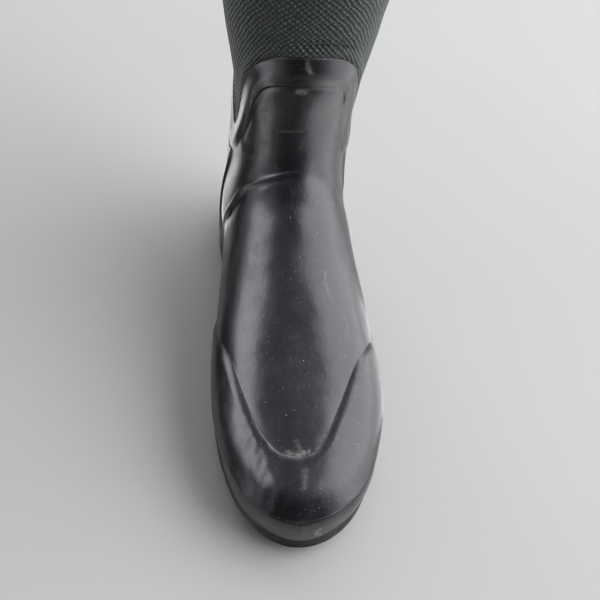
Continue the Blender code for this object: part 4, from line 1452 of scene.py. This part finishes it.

# %% [markdown]
# Black cards stand close to the inner side and in front, and glowing and dark ones lie on the
# floor around. They are seen only in reflections: the black ones paint dark reflections and
# the glowing ones, which are no lamps, paint pale reflections on the rubber. In a studio such
# cards draw the form of a black, shiny thing.

# %% Cards
Card = namedtuple("Card", "name low high")
CARDS = [
    Card("inner_toe_card", (-114.0, 8.0, 0.0), (-112.0, 90.0, 48.0)),
    Card("inner_ball_card", (-114.0, 90.0, 0.0), (-112.0, 150.0, 78.0)),
    Card("inner_instep_card", (-114.0, 150.0, 0.0), (-112.0, 205.0, 88.0)),
    Card("inner_leg_card", (-122.0, 222.0, 0.0), (-120.0, 305.0, 330.0)),
    Card("front_card", (-420.0, -330.0, 0.0), (420.0, -328.0, 650.0)),
]
FloorCard = namedtuple("FloorCard", "name middle near far first last glow")
FLOOR_CARDS = [
    FloorCard("outer_glowing_floor_card", (10.0, 150.0, 1.0), 72.0, 2600.0, 56.0, 127.0, 2.1),
    FloorCard("inner_glowing_floor_card", (-15.0, 200.0, 1.0), 190.0, 1600.0, -120.0, -90.0, 2.3),
    FloorCard("heel_glowing_floor_card", (-45.0, 245.0, 1.0), 40.0, 500.0, -54.0, -4.0, 1.9),
    FloorCard("front_floor_card", (10.0, 60.0, 1.0), 150.0, 1800.0, 140.0, 228.0, 0.0),
]
CARD_BLACK = (0.012, 0.012, 0.012, 1.0)
CARD_STEPS = 24


def set_card(name, bm, glow):
    """A card of the studio that shows in reflections alone: with a glow it is a painted pale reflection,
    without one a painted dark reflection.
    """
    card = object_from(name, bm)
    finish = new_finish(name)
    # the emission paints a pale reflection on the rubber; a glow of nothing leaves a black card
    set_inputs(finish.node_tree.nodes["Principled BSDF"],
               {"Base Color": CARD_BLACK, "Roughness": 1.0, "Specular IOR Level": 0.0,
                "Emission Color": (1.0, 1.0, 1.0, 1.0), "Emission Strength": glow})
    card.data.materials.append(finish)
    card.visible_camera = False
    card.visible_diffuse = False
    card.visible_shadow = False


for made in CARDS:
    card_bm = bmesh.new()
    low, high = to_model(made.low), to_model(made.high)
    size = Matrix.Diagonal((*(high - low), 1.0))
    bmesh.ops.create_cube(card_bm, size=1.0, matrix=Matrix.Translation(0.5 * (low + high)) @ size)
    set_card(made.name, card_bm, 0.0)
for made in FLOOR_CARDS:
    card_bm = bmesh.new()
    middle = Vector(to_model(made.middle))
    start = toward(made.first, 0.0)
    ends = [card_bm.verts.new(middle + reach * MM * start) for reach in (made.near, made.far)]
    edge = card_bm.edges.new(ends)
    bmesh.ops.spin(card_bm, geom=ends + [edge], cent=middle, axis=(0.0, 0.0, 1.0),
                   angle=math.radians(made.first - made.last), steps=CARD_STEPS)
    set_card(made.name, card_bm, made.glow)
print("cards:", ", ".join(made.name for made in CARDS + FLOOR_CARDS))

# %% [markdown]
# ## Camera
# The camera stands in front of the toe and looks down on the instep, as the picture was
# taken. It was placed by matching the outline, the V and the collar; then it is turned
# sideways so that the single boot stands in the middle of the frame.

# %% Camera
CAMERA_AT = (-55.4, -279.1, 550.9)
LOOK_ASIDE = -0.66
LOOK_UP = -48.69
LEAN = math.radians(0.87)
TURN_TO_BOOT = math.radians(5.9)
FOCAL = 60.0
SENSOR = 36.0
CLIP_START = 0.01

forward = toward(LOOK_ASIDE, LOOK_UP)
level = toward(LOOK_ASIDE + 90.0, 0.0)
right = math.cos(LEAN) * level + math.sin(LEAN) * forward.cross(level)
up = -forward.cross(right)
aim = Matrix.Rotation(-TURN_TO_BOOT, 3, up)
turn = Matrix((aim @ right, up, -(aim @ forward))).transposed().to_4x4()
lens = bpy.data.cameras.new("camera")
lens.lens = FOCAL
lens.sensor_width = SENSOR
lens.clip_start = CLIP_START
camera = bpy.data.objects.new("camera", lens)
camera.matrix_world = Matrix.Translation(to_model(CAMERA_AT)) @ turn
bpy.context.scene.collection.objects.link(camera)
bpy.context.scene.camera = camera
print("camera at", [round(value, 3) for value in camera.matrix_world.translation])

# %% [markdown]
# ## Last update

# %% Update the scene
bpy.context.view_layer.update()
